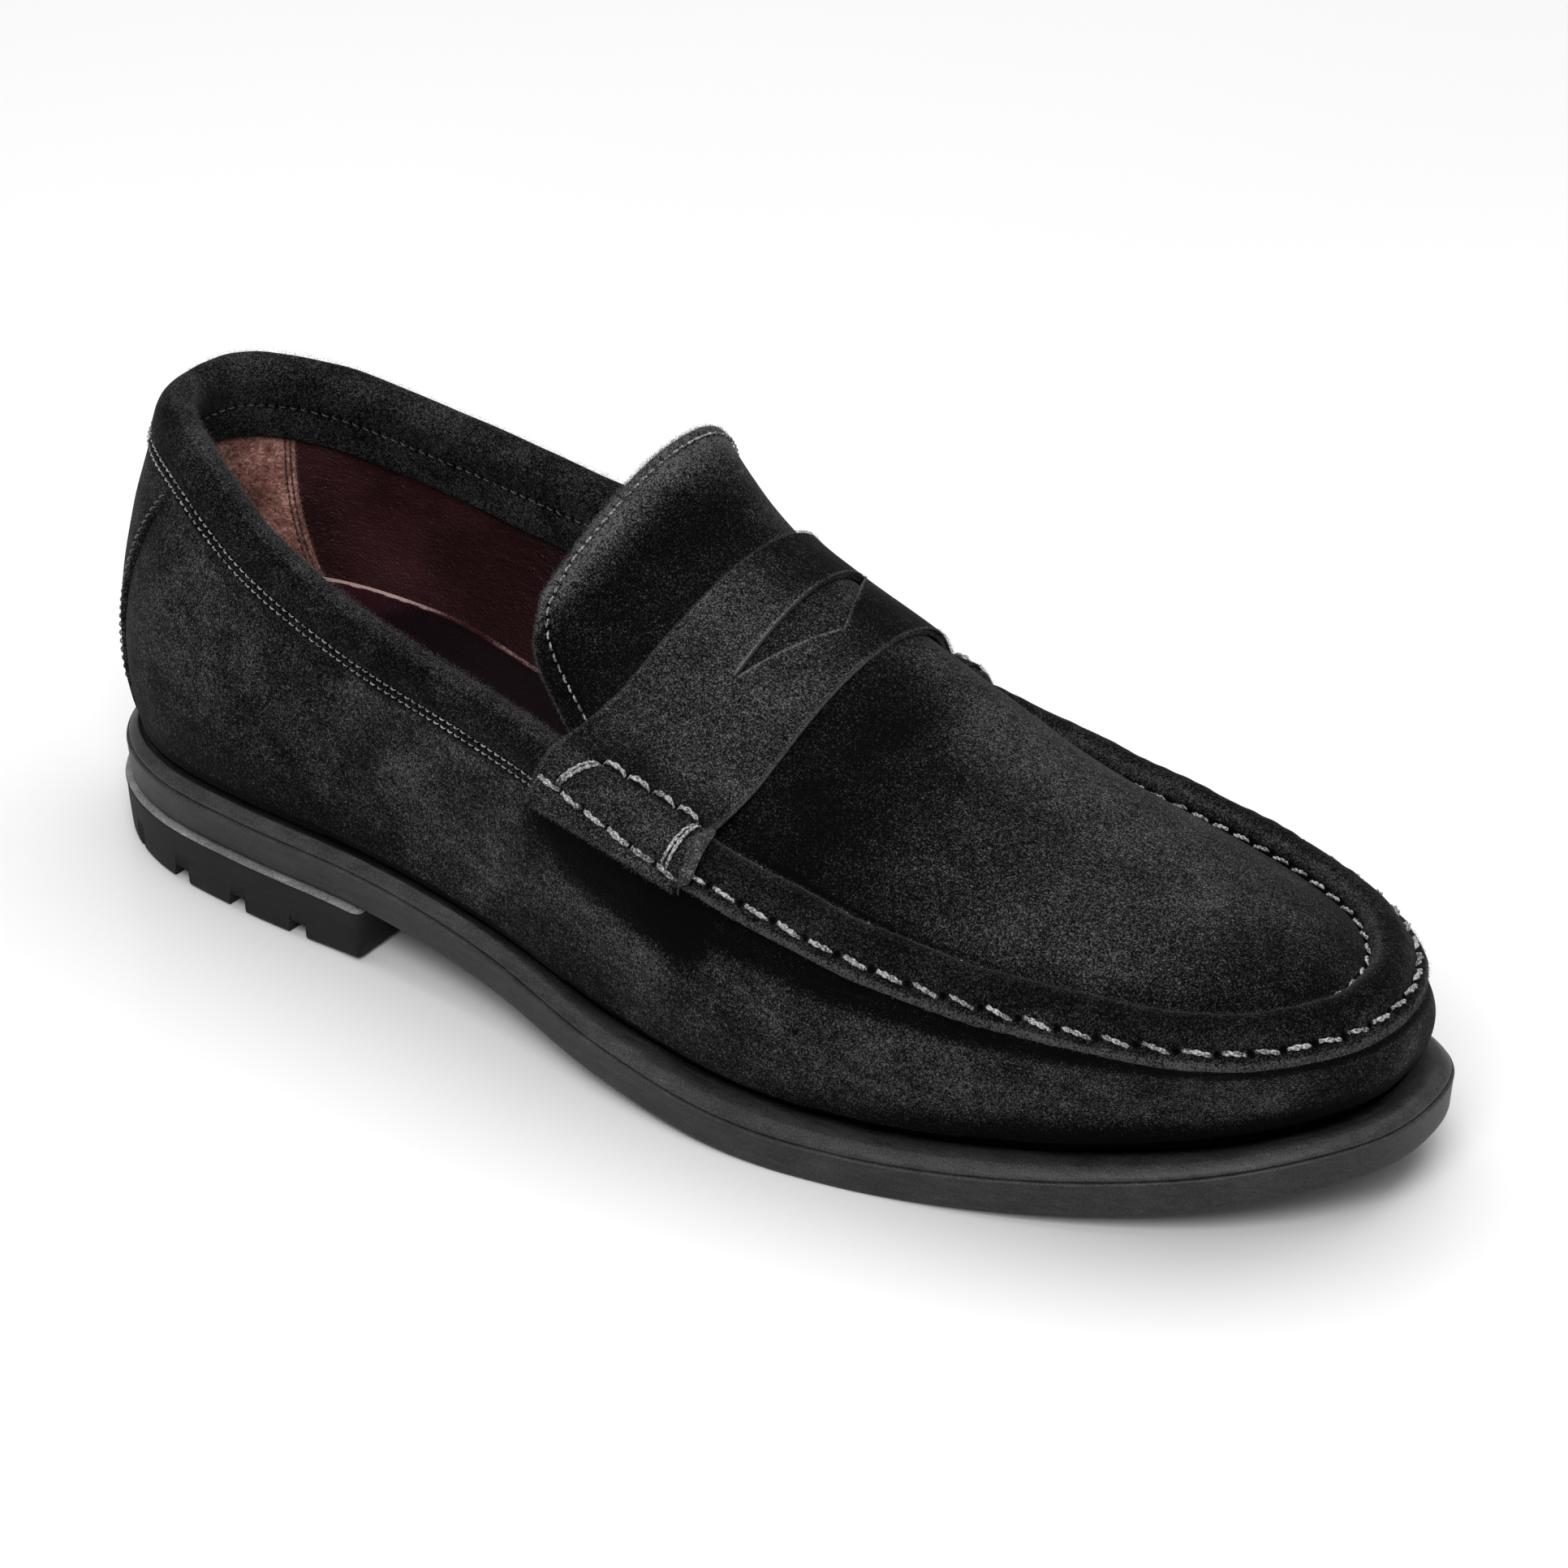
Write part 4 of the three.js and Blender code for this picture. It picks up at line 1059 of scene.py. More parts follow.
LINING_RUN = 10.485
LINING_FOOT = 0.14
GRIP_TOP = 0.86
GRIP_ROWS = (0.055, 0.115)


def grip_front(h):
    """The heel piece reaches further forward near the footbed."""
    return 1.6 + 0.95 * np.maximum(1 - h / GRIP_TOP, 0) ** 2.2


def grip_row(side, setback):
    h = np.linspace(0.17, GRIP_TOP, 120)
    s = side * (grip_front(h) - setback)
    path = wall_at(s, h, LINING_OFFSET - LINING - 0.12)
    return path, -wall_normal(s, h), 1.7


def make_lining():
    face = -LINING_OFFSET + LINING
    for side, start in (("outer", 1.5), ("inner", STATIONS / 2 + 0.015)):
        s = np.linspace(start, start + LINING_RUN, 340)
        h = drop_heights(LINING_FOOT, 70)(s)
        node = f"lining_{side}_side"
        lining_sheet(f"lining_{side}", s[:, None], h, face - 0.25, LINE, "lining_leather", node)
    rows = [grip_row(side, setback) for side in (-1, 1) for setback in GRIP_ROWS]
    holes = [holes_of(*row) for row in rows]
    h = np.linspace(LINING_FOOT, 0.9, 90)[None, :]
    s = np.linspace(-1, 1, 220)[:, None] * grip_front(h)
    lining_sheet("heel_grip_nap", s, h, face + 0.1, NUBUCK, "nubuck", "heel_grip", holes)
    tubes = [stitches(*row, 0.2, 0.1, 0.8, seed=30 + k) for k, row in enumerate(rows)]
    thread_piece("grip_stitches", BROWN, (), *tubes)


COLLAR_FROM = 18.28
COLLAR_TO = 29.7
OUT = GAP + BINDING
IN_LINING = -SUEDE - STIFFENER - LINING - 4 * GAP
IN_FACE = IN_LINING - BINDING
UPPER_ROW = 7.2
LOWER_ROW = 8.6
INSIDE_ROW = 8.0
COLLAR_ROWS = {
    "upper": (UPPER_ROW, OUT, 1.9),
    "lower": (LOWER_ROW, OUT, 1.9),
    "inside": (INSIDE_ROW, IN_FACE, 2.2),
}


def drop(s, depth, offset):
    return wall_at(s, below(s, depth), offset)


def cap(s, offset, lift):
    return wall_at(s, 1.0, offset) + vec(0, 0, lift)


def collar_row(depth, offset, pitch):
    s = np.linspace(COLLAR_FROM + 0.05, COLLAR_TO - 0.05, 900)
    return drop(s, depth, offset), wall_normal(s, below(s, depth)) * np.sign(offset), pitch


def make_collar():
    s = np.linspace(COLLAR_FROM, COLLAR_TO, 1300)
    short = 1 - 0.65 * np.maximum(ramp(29.35, 29.6, s), ramp(18.65, 18.4, s))
    face = [
        drop(s, 9.9, OUT - 0.5), drop(s, 9.4, OUT - 0.1), drop(s, LOWER_ROW, OUT - 0.05),
        drop(s, 7.9, OUT + 0.12), drop(s, UPPER_ROW, OUT - 0.05), drop(s, 5.6, OUT + 0.3),
        drop(s, 2.8, OUT + 0.2), cap(s, 0.6, -1.0), cap(s, -0.6, -0.15), cap(s, -2, 0.1),
        cap(s, -3.5, -0.2), cap(s, -4.5, -1.1), drop(s, 2.8, IN_FACE - 0.1),
        drop(s, 5.4 * short, IN_FACE - 0.2), drop(s, INSIDE_ROW * short, IN_FACE + 0.05),
        drop(s, 11 * short, IN_FACE - 0.15), drop(s, 14.4 * short, IN_FACE),
        drop(s, 15 * short, IN_FACE + 0.5),
    ]
    back = [
        drop(s, 14.6 * short, IN_LINING), drop(s, 8 * short, IN_LINING), drop(s, 2.6, IN_LINING),
        cap(s, -3.4, -2.1), cap(s, -2, -1.6), cap(s, -0.6, -2.1), drop(s, 2.6, GAP), drop(s, 6, GAP),
        drop(s, 9.6, GAP),
    ]
    controls = np.stack(face + back, 1)
    knots = np.concatenate([np.linspace(0, 17, 96), np.linspace(18, 26, 24)])
    sections = collar_sections(controls, knots)
    normals = grid_normals(sections, slice(5, 20), wall_normal(s[:, None], np.array([[0.9]])))
    waves = ripple(sections, 16, 0.14, 4) + ripple(sections, 5, 0.05, 6)
    sections = sections + normals * waves[..., None]
    tone = np.where(knots < 7, 0.3, np.where(knots < 10.5, -0.1, -0.25))[None, :]
    for row in COLLAR_ROWS.values():
        holes = holes_of(*collar_row(*row))
        sections, tone = sewn(sections, normals, tone, holes, 0.4, (0.5, 0.4))
    put(closed_piece("collar_fold", sections, tone), COLLAR, "suede", "collar_binding")
    for side, row in COLLAR_ROWS.items():
        name = f"collar_stitches_{side}"
        radius, thread_kind = (0.14, SHADE) if side == "inside" else (0.18, FINE)
        tubes = stitches(*collar_row(*row), radius, 0.05, 0.66, 0.1, seed=len(name))
        thread_piece(name, thread_kind, (f"thread_collar_{side}_row",), tubes)


def collar_sections(controls, knots):
    """Closed Catmull-Rom through each station's control points."""
    n = controls.shape[1]
    i = np.floor(knots).astype(int)
    four = [controls[:, (i + k) % n] for k in (-1, 0, 1, 2)]
    return catmull(four, (knots - i)[None, :, None])


def strip_half_width(height):
    return 0.9 + 0.65 * height + 0.34 * height**4


def strip_row(side):
    f = np.linspace(0.16, 0.985, 300)
    s = side * (strip_half_width(f) - 0.07)
    h = f * below(s, 10.2)
    return wall_at(s, h, 1.05), wall_normal(s, h), 2.3


def make_back_strip():
    h = np.linspace(0.02, 1, 150)[:, None]
    s = np.linspace(-1, 1, 170)[None, :] * strip_half_width(h)
    height = h * below(s, 9.2)
    grid = wall_at(s, height, 1.0 - 0.35 * ramp(0.965, 0.99, h))
    normals = wall_normal(s, height)
    grid = grid + normals * ripple(grid, 16, 0.08, 8)[..., None]
    rows = {"outer": strip_row(1), "inner": strip_row(-1)}
    for row in rows.values():
        grid = dimple(grid, normals, holes_of(*row), 0.55, 0.4)
    put(sheet_piece("back_strip_suede", grid, normals, 0.9, 0.3), WALL, "suede", "back_strip")
    for side, row in rows.items():
        tubes = stitches(*row, 0.2, 0.02, 0.8, 0.12)
        thread_piece(f"strip_stitches_{side}", SHADE, (f"thread_back_strip_{side}_side",), tubes)


TONGUE_INSET = 0.95


def tongue_row():
    """The sewing round the tongue's free edge: down one side, across the top and down again."""
    down = np.linspace(2.45, 0.42, 90)
    over = np.linspace(-0.80, 0.80, 160)
    turn = np.linspace(0, 1, 40)[1:-1]
    corner_row = 0.42 - 0.27 * ramp(0, 1, turn)
    corner = -TONGUE_INSET + 0.13 * turn**1.6
    side = np.full_like(down, -TONGUE_INSET)
    rows = np.concatenate([down, corner_row, np.full_like(over, 0.15), corner_row[::-1], down[::-1]])
    across = np.concatenate([side, corner, over, -corner[::-1], -side])
    return apron_at(rows, across, 0.02), apron_normal(rows, across), 2.3


OUTER_SEAM = (6.15, -4.75, 0.75, 0.66)
INNER_SEAM = (-3.2, -3.0, -0.6, 0.8)
OUTER_RUNS = ((6.62, 10.0, 7.4), (10.0, 14.2, 6.1), (14.2, 17.3, 7.4))
INNER_RUN = (6.62, 17.3, 5.0)


def seam_row(place, run):
    """A row of the raised seam's sewing. The outer row's stitches are shorter round the toe."""
    e, h, lean, rise = place
    start, end, pitch = run
    s = np.linspace(start, end, 1400)
    tilt = unit(outward(crest, s) * lean + vec(0, 0, rise))
    return beside_crest(s, e, h), tilt, pitch


def apron_tone(rows, across):
    """Where the apron is painted darker, beside the strap, in the throat, beside the seam and toward
    the toe, as shade partly with brushed nap; and painted lighter on its crown and along the
    tongue's top edge, as highlight.
    """
    aside = np.abs(across)
    beside = swell(5.0, 0.9, rows) * fade(-0.3, 0.25, across)
    throat = ramp(0.5, 1.2, rows) * fade(2.8, 3.1, rows) * fade(-0.2, 0.5, across) * 0.85
    rim = (ramp(0.8, 1.0, aside) * 0.4 + ramp(0.955, 0.985, aside) * 1.6) * ramp(4.5, 5.5, rows)
    crown = swell(0.15, 0.35, across) * ramp(4.2, 5.0, rows) * -0.2
    return beside + throat + rim + crown + ramp(8, 10, rows) * 0.6 - fade(0.2, 0.8, rows) * 0.9


def make_apron():
    rows = np.concatenate([np.linspace(0, 3, 120)[:-1], np.linspace(3, LAST_ROW, 330)])[:, None]
    across = np.linspace(-1, 1, 150)[None, :]
    grid = apron_at(rows, across, 0.0)
    normals = apron_normal(rows, across)
    waves = (ripple(grid, 30, 0.3, 9) + ripple(grid, 9, 0.06, 10)) * (1 - np.abs(across) ** 8)
    grid = grid + normals * waves[..., None]
    row = tongue_row()
    holes = holes_of(*row)
    grid = dimple(grid, normals, holes, 0.6, 0.4)
    tone = apron_tone(rows, across) + hole_tone(grid, holes)
    obj = sheet_piece("apron_suede", grid, normals, SUEDE, 0.35, tone)
    put(obj, APRON, "suede", "apron_and_tongue")
    tubes = stitches(*row, 0.24, 0.08, 0.78, 0.1, seed=5)
    thread_piece("tongue_stitches", FINE, ("thread_tongue_edge",), tubes)
    rows = rows[::2]
    across = across[:, ::2]
    low = apron_at(rows, across * 0.968, -SUEDE - GAP - 0.8)
    lining = sheet_piece("tongue_lining", low, -apron_normal(rows, across), 0.75, 0.2)
    put(lining, LINE, "lining_leather", "apron_lining")


def make_ridge():
    s = np.linspace(5.75, 18.25, 1500)
    controls = np.array([
        [-3.1, -3.4], [-2.7, -2.0], [-1.7, -0.9], [0.5, 0.1], [3.2, -0.8], [4.9, -2.6], [5.9, -4.3],
        [6.5, -5.2], [7.6, -5.9], [8.2, -6.9], [7.9, -7.5], [6.9, -7.3], [5.6, -6.2], [4.5, -4.9],
        [2.3, -2.3], [0.5, -1.5], [-1, -2.3], [-2.2, -4],
    ])
    shape = spline(controls, np.linspace(0, 18, 73)[:-1])
    e = shape[None, :, 0]
    grid = beside_crest(s[:, None], e, shape[None, :, 1])
    normals = grid_normals(grid, slice(10, 20), vec(0, 0, 1))
    waves = ripple(grid, 14, 0.16, 13) + ripple(grid, 4, 0.08, 14)
    grid = grid + normals * waves[..., None]
    tone = 0.4 * swell(2.4, 2.0, e) - 0.5 * swell(-1.6, 0.9, e)
    tone = tone - 0.9 * ramp(7.3, 8.0, e) + 1.2 * ramp(-2.7, -3.1, e)
    outer = [seam_row(OUTER_SEAM, run) for run in OUTER_RUNS]
    inner = seam_row(INNER_SEAM, INNER_RUN)
    holes = np.concatenate([holes_of(*row) for row in outer])
    grid, tone = sewn(grid, normals, tone, holes, 1, (1.3, 0.35), (0.55, 0.7))
    grid, tone = sewn(grid, normals, tone, holes_of(*inner), 1, (1.6, 0.35))
    put(closed_piece("seam_ridge", grid, tone), ROLL, "suede", "raised_seam")
    tubes = [stitches(*row, 0.52, 0.06, 0.8, 0.12, seed=8 + k) for k, row in enumerate(outer)]
    thread_piece("seam_stitches_outer", HEAVY, ("thread_seam_outer_row",), *tubes)
    tubes = stitches(*inner, 0.38, 0.0, 0.74, -0.1, seed=19)
    thread_piece("seam_stitches_inner", HEAVY, ("thread_seam_inner_row",), tubes)


STRAP_FROM = 2.5
STRAP_TO = 4.4
STRAP_REACH = 0.84
SADDLE_SETBACK = 0.22
STRAP_THICK = 1.5
STRAP_LIFT = GAP + 1.6
SADDLE_FACE = [
    (10.2, -7.3), (10, -5.8), (9.1, -4.1), (7.1, -1.2), (4.4, 1.2), (1, 2.3), (-2.2, 1.9),
]
SLOT_ACROSS = (-0.615, 0.48)
SLOT_ROWS = (3.55, 3.4)
SLOT_APEX = 0.43
SLOT_DEPTHS = (0.04, 0.5)
OVER_COUNT = 15
ENDS = len(SADDLE_FACE)
LINE_COUNT = 2 * ENDS + OVER_COUNT


def strap_controls(f):
    """The strap's line from saddle to saddle, a fraction f along its length: control points."""
    f = np.asarray(f, float)[:, None]

    def row(v):
        return STRAP_FROM + SADDLE_SETBACK * (1 - f) * v * v + f * (STRAP_TO - STRAP_FROM)

    station = apron_station(row(1.0))
    e, h = (np.array(c)[None, :] for c in zip(*SADDLE_FACE))
    v = np.linspace(-STRAP_REACH, STRAP_REACH, OVER_COUNT)[None, :]
    over = apron_at(row(v), v, STRAP_LIFT)
    near = beside_crest(station, e, h)
    far = beside_crest(on_other_side(station), e, h)[:, ::-1]
    line = np.concatenate([near, over, far], 1)
    for k in (ENDS - 1, ENDS, ENDS + 1):
        for i in (k, LINE_COUNT - 1 - k):
            line[:, i] = (line[:, i - 1] + 2 * line[:, i] + line[:, i + 1]) / 4
    return line


TABLE_ROWS = 160
strap_table = strap_controls(np.linspace(0, 1, TABLE_ROWS))


def strap_at(f, u):
    """Point on the strap's outer face: f along the shoe, u from saddle to saddle in controls."""
    f, u = together(f, u)
    r = np.clip(f, 0, 1) * (TABLE_ROWS - 1)
    i = np.minimum(r.astype(int), TABLE_ROWS - 2)
    g = (r - i)[..., None]
    u = np.clip(u, 0, LINE_COUNT - 1)
    j = np.minimum(u.astype(int), LINE_COUNT - 2)
    four = []
    for k in (-1, 0, 1, 2):
        c = np.clip(j + k, 0, LINE_COUNT - 1)
        four.append(strap_table[i, c] * (1 - g) + strap_table[i + 1, c] * g)
    return catmull(four, (u - j)[..., None])


def strap_normal(f, u):
    along = strap_at(np.minimum(f + 0.01, 1), u) - strap_at(np.maximum(f - 0.01, 0), u)
    over = strap_at(f, np.minimum(u + 0.05, LINE_COUNT - 1)) - strap_at(f, np.maximum(u - 0.05, 0))
    return unit(np.cross(along, over))


def across_of(u):
    return (u - ENDS) / (OVER_COUNT - 1) * 2 * STRAP_REACH - STRAP_REACH


def u_of_across(v):
    return ENDS + (v + STRAP_REACH) / (2 * STRAP_REACH) * (OVER_COUNT - 1)


def slot_edges(u):
    """The fractions f of the slot's rear and front edges at u, which are equal beyond its tips."""
    v = across_of(u)
    q = (v - SLOT_ACROSS[0]) / (SLOT_ACROSS[1] - SLOT_ACROSS[0])
    inside = np.clip(q, 0, 1)
    chord = SLOT_ROWS[0] + inside * (SLOT_ROWS[1] - SLOT_ROWS[0])
    rear = chord - SLOT_DEPTHS[0] * np.sin(math.pi * inside)
    front = chord + SLOT_DEPTHS[1] * np.minimum(inside / SLOT_APEX, (1 - inside) / (1 - SLOT_APEX))

    def fraction(row):
        bend = SADDLE_SETBACK * np.clip(v, -1, 1) ** 2
        return (row - STRAP_FROM - bend) / (STRAP_TO - STRAP_FROM - bend)

    rear, front = fraction(rear), fraction(front)
    away = ramp(0, 1, np.maximum(-q, q - 1) * 3)
    return rear + (0.5 - rear) * away, front + (0.5 - front) * away


SADDLE_CORNER = 3.2
SADDLE_STEP = 1.75
STRAP_WIDTH = 33.0


def saddle_trim(u):
    """How much the strap's ends are cut back at their rounded corners, as a fraction of f."""
    distance = np.minimum(u, LINE_COUNT - 1 - u) * SADDLE_STEP
    short = np.clip(1 - distance / SADDLE_CORNER, 0, 1)
    return SADDLE_CORNER / STRAP_WIDTH * (1 - np.sqrt(1 - short**2))


def on_saddle(f, u, side):
    """The same place on the outer or inner saddle."""
    return f, (u if side == "outer" else LINE_COUNT - 1 - u)


UPPER_U = {"outer": 5.35, "inner": 3.2}
ROLL_SIZE = {"outer": 1, "inner": 0.6}
STRAND_APART = 0.013
LOWER_U = (2.75, 1.7)
REAR_F = (0.27, 0.15)
FRONT_F = (0.93, 0.88)


def saddle_line(f0, u0, f1, u1, side):
    t = np.linspace(0, 1, 60)
    f, u = on_saddle(f0 + (f1 - f0) * t, u0 + (u1 - u0) * t, side)
    return strap_at(f, u), strap_normal(f, u)


def saddle_rows(side):
    """The saddle's rows of stitches, its short ends sewn with two strands side by side."""
    rear_u = LOWER_U[0] + (LOWER_U[1] - LOWER_U[0]) * REAR_F[1]
    high = UPPER_U[side]
    lines = [(REAR_F[0], high, FRONT_F[0], high, 4), (0.01, LOWER_U[0], 0.99, LOWER_U[1], 6)]
    for apart in (-STRAND_APART, STRAND_APART):
        lines.append((REAR_F[0] + apart, high, REAR_F[1] + apart, rear_u, 1))
        lines.append((FRONT_F[0] + apart, high, FRONT_F[1] + apart, LOWER_U[1], 1))
    rows = []
    for *line, stitch_count in lines:
        path, up = saddle_line(*line, side)
        rows.append((path, up, path_length(path) / stitch_count))
    return rows


EDGE_LIGHT = 1.3
PLY_ROWS = 62
SLOT_CLOSED = 0.012
WELD = 0.004


def edge_distance(f, columns):
    """Millimetres from the nearest cut edge of the strap, its slot's edges included."""
    rear, front = slot_edges(columns)
    closed = front - rear < SLOT_CLOSED
    to_slot = np.maximum(rear - f, f - front) + closed
    return np.minimum(np.minimum(f, 1 - f), np.abs(to_slot)) * STRAP_WIDTH


def strap_tone(f, columns):
    """The strap is dark on its inner half, with light cut edges."""
    across = across_of(columns)[None, :]
    aside = np.abs(across)
    tone = 0.9 * ramp(-0.35, 0.05, across) - 0.1 * fade(-0.6, -0.2, across)
    tone = tone - EDGE_LIGHT * swell(0, 0.4, edge_distance(f, columns))
    return tone + 0.5 * ramp(0.86, 0.98, aside) * fade(1.02, 1.12, aside)


def strap_ply(name, back, depth, columns, rows):
    """One ply of the strap, in two halves that meet beyond the slot's tips."""
    rear, front = slot_edges(columns)
    low = saddle_trim(columns) + back
    high = 1 - low
    t = np.linspace(0, 1, PLY_ROWS)[:, None]
    grids = []
    tones = []
    for f in (low + (rear - low) * t, front + (high - front) * t):
        grid = strap_at(f, columns[None, :])
        normals = strap_normal(f, np.broadcast_to(columns, f.shape))
        wave = ripple(grid, 26, 0.12, 17) + ripple(grid, 8, 0.03, 18)
        grid = grid + normals * (wave - depth)[..., None]
        tone = strap_tone(f, columns)
        for row in rows:
            grid, tone = sewn(grid, normals, tone, holes_of(*row), 1, (1.3, 0.15), (0.55, 0.6))
            line = along_path(*row[:2], np.linspace(0, path_length(row[0]), 40))[0]
            grid = dimple(grid, normals, line, 1.1, 0.45)
        grids.append(grid)
        tones.append(tone)
    count = len(columns)
    faces = grid_faces(PLY_ROWS, count) + grid_faces(PLY_ROWS, count, start=PLY_ROWS * count)
    if not facing(grids[1], normals):
        faces = [f[::-1] for f in faces]
    obj = mesh_object(name, np.stack(grids), faces)
    tint(obj, np.stack(tones), (2, PLY_ROWS, count))
    reworked(obj, lambda bm: bmesh.ops.remove_doubles(bm, verts=bm.verts, dist=WELD * MM))
    return thickened(obj, STRAP_THICK / 2, 0.25)


def make_strap():
    over_end = ENDS + OVER_COUNT - 1
    columns = np.concatenate([
        np.linspace(0, ENDS, 110)[:-1],
        np.linspace(ENDS, over_end, 230)[:-1],
        np.linspace(over_end, LINE_COUNT - 1, 110),
    ])
    apex = SLOT_ACROSS[0] + SLOT_APEX * (SLOT_ACROSS[1] - SLOT_ACROSS[0])
    for tip in (u_of_across(v) for v in (*SLOT_ACROSS, apex)):
        columns[np.argmin(np.abs(columns - tip))] = tip
    rows = {side: saddle_rows(side) for side in ("outer", "inner")}
    both = rows["outer"] + rows["inner"]
    strap = strap_ply("strap_suede", 0.010, 0, columns, both)
    under = strap_ply("strap_under", 0, 0.85, columns, both)
    reworked(strap, lambda bm: bm.from_mesh(under.data))
    bpy.data.objects.remove(under)
    put(strap, STRAP, "suede", "penny_strap")
    for k, side in enumerate(rows):
        tubes = []
        for m, row in enumerate(rows[side]):
            radius = 0.42 if m > 1 else 0.55
            tubes.append(stitches(*row, radius, 0.08, 0.9, 0.05, seed=40 + 6 * k + m))
        thread_piece(f"saddle_stitches_{side}", HEAVY, (f"thread_saddle_{side}_side",), *tubes)
        make_saddle_roll(side)


def make_saddle_roll(side):
    """The rolled front end of the saddle, where the raised seam comes out from under it."""
    u = np.linspace(LOWER_U[1] - 0.2, UPPER_U[side] + 0.1, 90)
    f, u = on_saddle(np.full_like(u, 0.985), u, side)
    path = strap_at(f, u)
    up = strap_normal(f, u)[:, None]
    ahead = unit(path - strap_at(f - 0.05, u))[:, None]
    a = np.linspace(0, 2 * math.pi, 24, endpoint=False)[None, :, None]
    thick = (0.35 + 0.65 * np.sin(np.pi * np.linspace(0, 1, 90)) ** 0.5)[:, None, None]
    thick = thick * ROLL_SIZE[side]
    ring = path[:, None] - up * 0.9 + ahead * 0.7
    ring = ring + thick * (ahead * np.cos(a) * 1.7 + up * np.sin(a) * 1.15)
    ring = ring + up * ripple(ring, 3, 0.08, 31)[..., None]
    put(closed_piece(f"saddle_roll_{side}", ring), RAW, "suede")


def strap_nap():
    """Nap along the strap's long edges, its two ends and the edges of its slot."""
    u = np.linspace(0, LINE_COUNT - 1, 400)
    ahead = unit(strap_at(0.6, u) - strap_at(0.4, u))
    edges = []
    for f, way in ((0, -1), (1, 1)):
        aim = unit(ahead * way + strap_normal(np.full_like(u, f), u) * 0.5)
        edges.append((strap_at(f, u), aim, 5200, 0.32, 0.16))
    for end in (0, LINE_COUNT - 1):
        f = np.linspace(0.03, 0.97, 120)
        u = np.full_like(f, end)
        edges.append((strap_at(f, u), unit(strap_normal(f, u) + vec(0, 0, -0.9)), 2200, 0.38, 0.3))
    u = np.linspace(*(u_of_across(v) for v in SLOT_ACROSS), 200)
    for f, way in zip(slot_edges(u), (0.6, -0.6)):
        ahead = unit(strap_at(f + 0.02, u) - strap_at(f - 0.02, u))
        edges.append((strap_at(f, u), unit(ahead * way + strap_normal(f, u)), 1500, 0.28, 0.1))
    return edges


def tongue_nap():
    across = np.linspace(-1, 1, 200)
    row = np.zeros_like(across)
    way = unit(apron_face(row, across) - apron_face(row + 0.3, across))
    edges = [(apron_at(row, across, -0.4), way, 6500, 0.5, 0.3)]
    row = np.linspace(0, 2.6, 160)
    for side in (-1, 1):
        path = apron_at(row, side, -0.4)
        edges.append((path, unit(path - apron_at(row, side * 0.9, -0.4)), 3600, 0.45, 0.3))
    return edges


CROWN = ((-0.6, 0, 0.7), (-2, 0.15, 0), (-3.6, -0.1, -0.8), (-4.3, -0.8, -1.2))


def collar_nap():
    s = np.linspace(COLLAR_FROM + 0.1, COLLAR_TO - 0.1, 700)
    out = wall_normal(s, 0.95)
    edges = []
    for offset, lift, lean in CROWN:
        edges.append((cap(s, offset, lift), unit(vec(0, 0, 1) + out * lean), 6500, 0.4, 0.4))
    return edges


def seam_nap():
    s = np.linspace(5.9, 18.1, 900)
    out = outward(crest, s)
    lip = (beside_crest(s, 8.0, -6.9), unit(out - vec(0, 0, 0.5)), 7500, 0.5, 0.25)
    brow = (beside_crest(s, -1.5, -0.7), unit(vec(0, 0, 1) - out * 0.7), 6500, 0.4, 0.3)
    return lip, brow


def grip_nap():
    h = np.linspace(0.2, GRIP_TOP, 160)
    edges = []
    for s in (-grip_front(h), grip_front(h)):
        path = wall_at(s, h, LINING_OFFSET - LINING - 0.15)
        edges.append((path, -wall_normal(s, h), 1500, 0.7, 0.3))
    return edges


def make_nap():
    fibres("nap_strap", FIBRE, "suede", *strap_nap())
    fibres("nap_tongue", FIBRE, "suede", *tongue_nap())
    fibres("nap_collar", FIBRE, "suede", *collar_nap())
    fibres("nap_seam", FIBRE, "suede", *seam_nap())
    fibres("nap_grip", NUBUCK, "nubuck", *grip_nap())


def dress_hidden():
    """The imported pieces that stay: hidden stiffeners, board, cork, nails, shank and cord."""
    for material, *nodes in (
        (STEEL, "shank", *(f"heel_nail_{k}" for k in range(1, 6))),
        (BOARD, "insole_board"),
        (CORK, "cork_filler"),
        (FOAM, "seam_cord"),
        (STIFF, "heel_counter", "toe_puff"),
    ):
        for node in nodes:
            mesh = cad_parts[node].data
            mesh.materials.clear()
            mesh.materials.append(material)


make_outsole()
make_welt()
make_heel()
make_footbed()
make_wall()
make_lining()
make_collar()
make_back_strip()
make_apron()
make_ridge()
make_strap()
make_nap()
dress_hidden()


# ---------------------------------------------------------------- studio

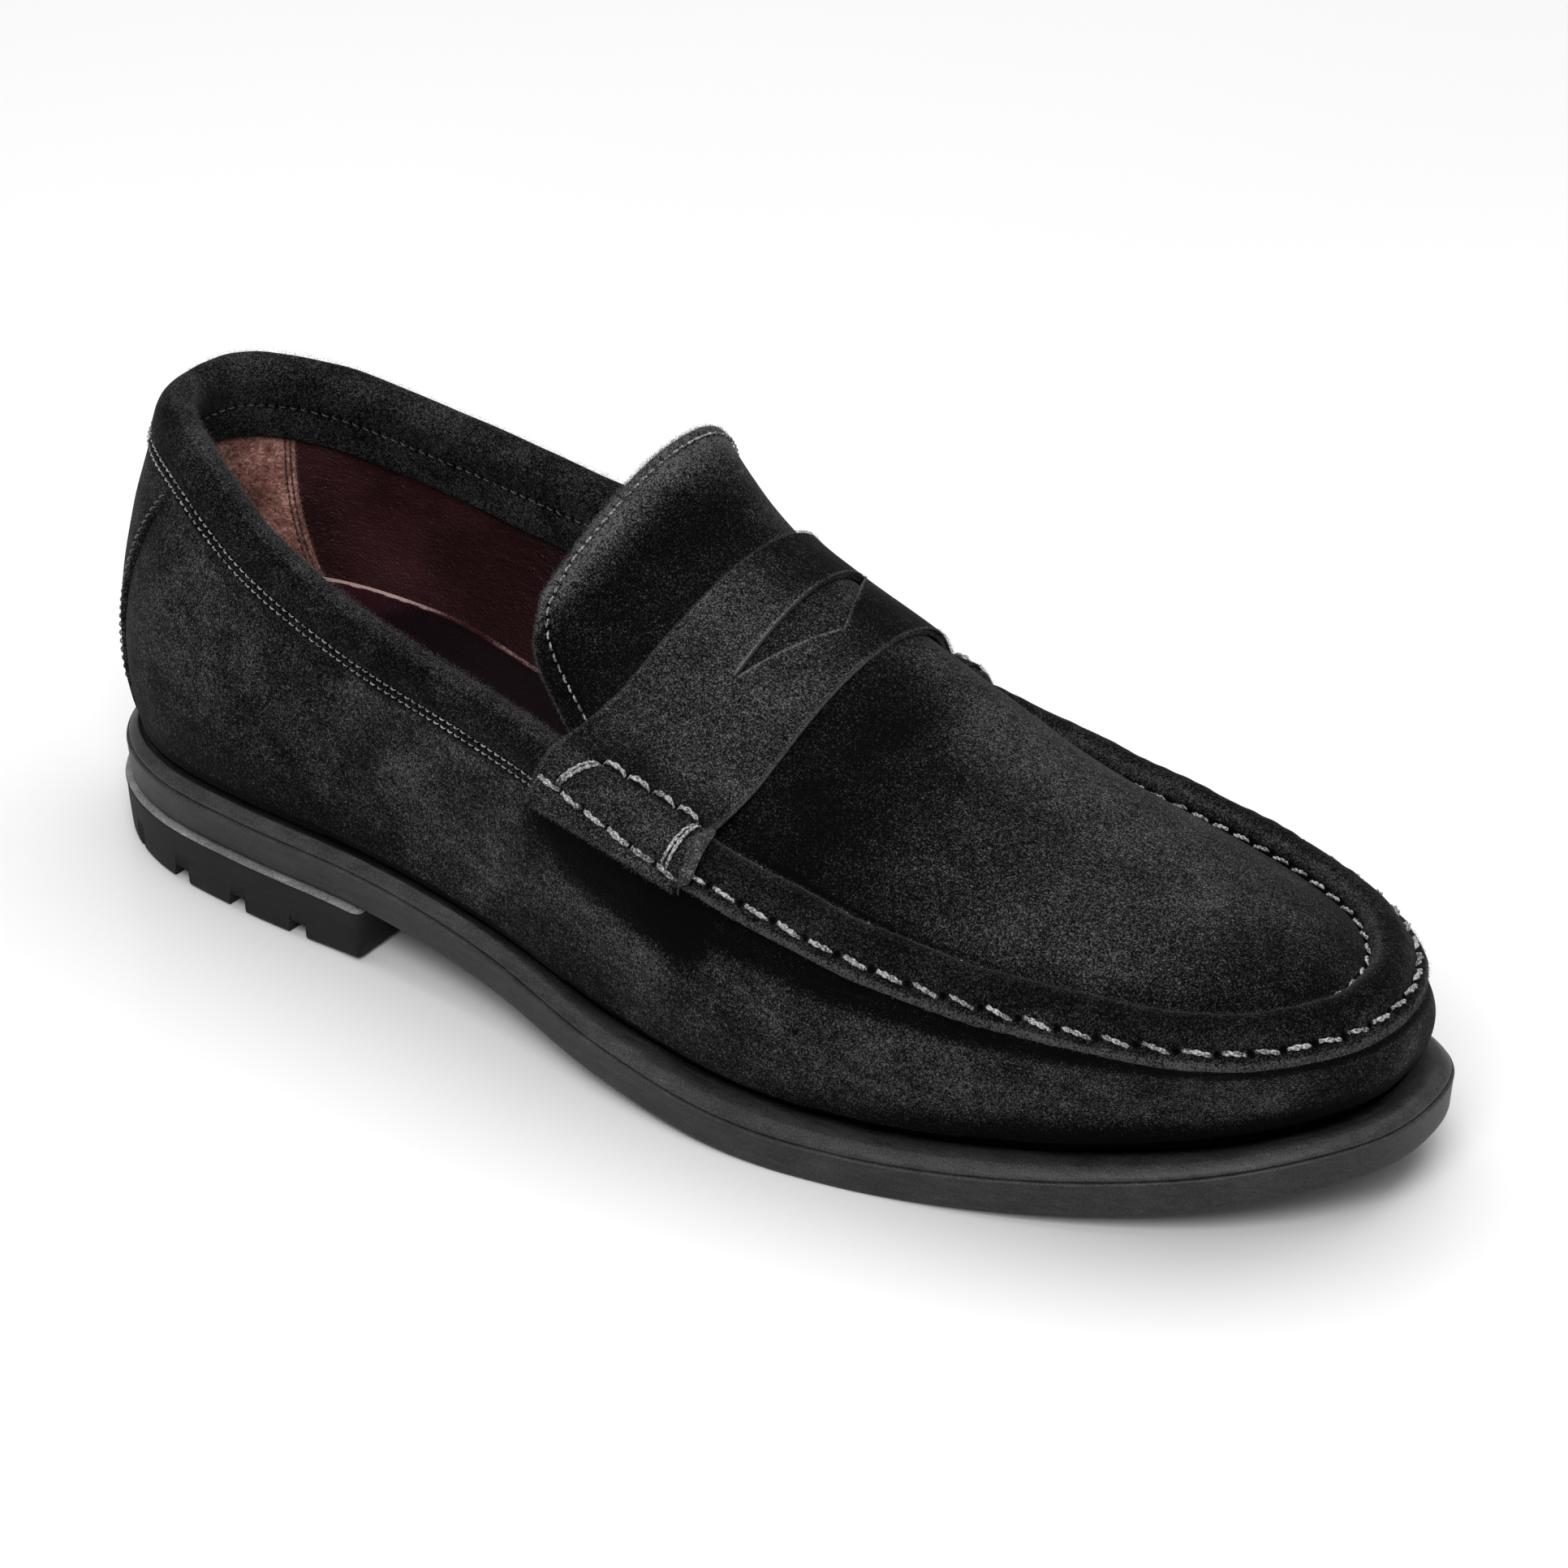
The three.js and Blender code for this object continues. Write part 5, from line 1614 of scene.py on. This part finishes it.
CAMERA_AZIMUTH = 35.0
CAMERA_ELEVATION = 28.76
CAMERA_DISTANCE = 1545
CAMERA_LENS = 177.5
CAMERA_TARGET = (-15.33, 33.32, 24.86)
FLOOR_REACH = 3.0
WORLD_LIGHT = 0.34


def make_floor():
    mesh = bpy.data.meshes.new("floor")
    r = FLOOR_REACH
    mesh.from_pydata([(-r, -r, 0), (r, -r, 0), (r, r, 0), (-r, r, 0)], [], [(0, 1, 2, 3)])
    p = Paint("floor_sheet", 0.16, 0.25)
    p.colours(p.noise(400, 2), (0.3, grey(0.90)), (0.7, grey(0.92)))
    mesh.materials.append(p.material)
    linked("floor", mesh)


def make_world():
    world = bpy.data.worlds.new("studio")
    bpy.context.scene.world = world
    world.use_nodes = True
    back = world.node_tree.nodes["Background"]
    back.inputs["Color"].default_value = (1, 1, 1, 1)
    back.inputs["Strength"].default_value = WORLD_LIGHT


def aim(obj, place, way):
    """Puts a lamp or a camera in its place, facing a way."""
    obj.location = place
    obj.rotation_euler = Vector(way).to_track_quat("-Z", "Y").to_euler()


def softbox(name, place, target, width, height, power):
    data = bpy.data.lights.new(name, "AREA")
    data.shape = "RECTANGLE"
    data.size = width
    data.size_y = height
    data.energy = power
    aim(linked(name, data), place, np.array(target) - place)


def make_camera():
    azimuth = math.radians(CAMERA_AZIMUTH)
    elevation = math.radians(CAMERA_ELEVATION)
    back = vec(
        math.sin(azimuth) * math.cos(elevation),
        -math.cos(azimuth) * math.cos(elevation),
        math.sin(elevation),
    )
    target = (np.array(CAMERA_TARGET) + SHIFT) * MM
    data = bpy.data.cameras.new("camera")
    data.lens = CAMERA_LENS
    data.sensor_width = 36
    data.clip_start = 0.05
    data.clip_end = 20
    camera = linked("camera", data)
    aim(camera, target + back * CAMERA_DISTANCE * MM, -back)
    bpy.context.scene.camera = camera


make_floor()
make_world()
softbox("top", (-0.08, 0.28, 1.4), (0, 0, 0), 1.9, 1.5, 17)
softbox("front", (0.55, -1.15, 1.25), (0, 0, 0.05), 0.9, 0.7, 18)
make_camera()
bpy.context.scene.view_settings.view_transform = "Standard"
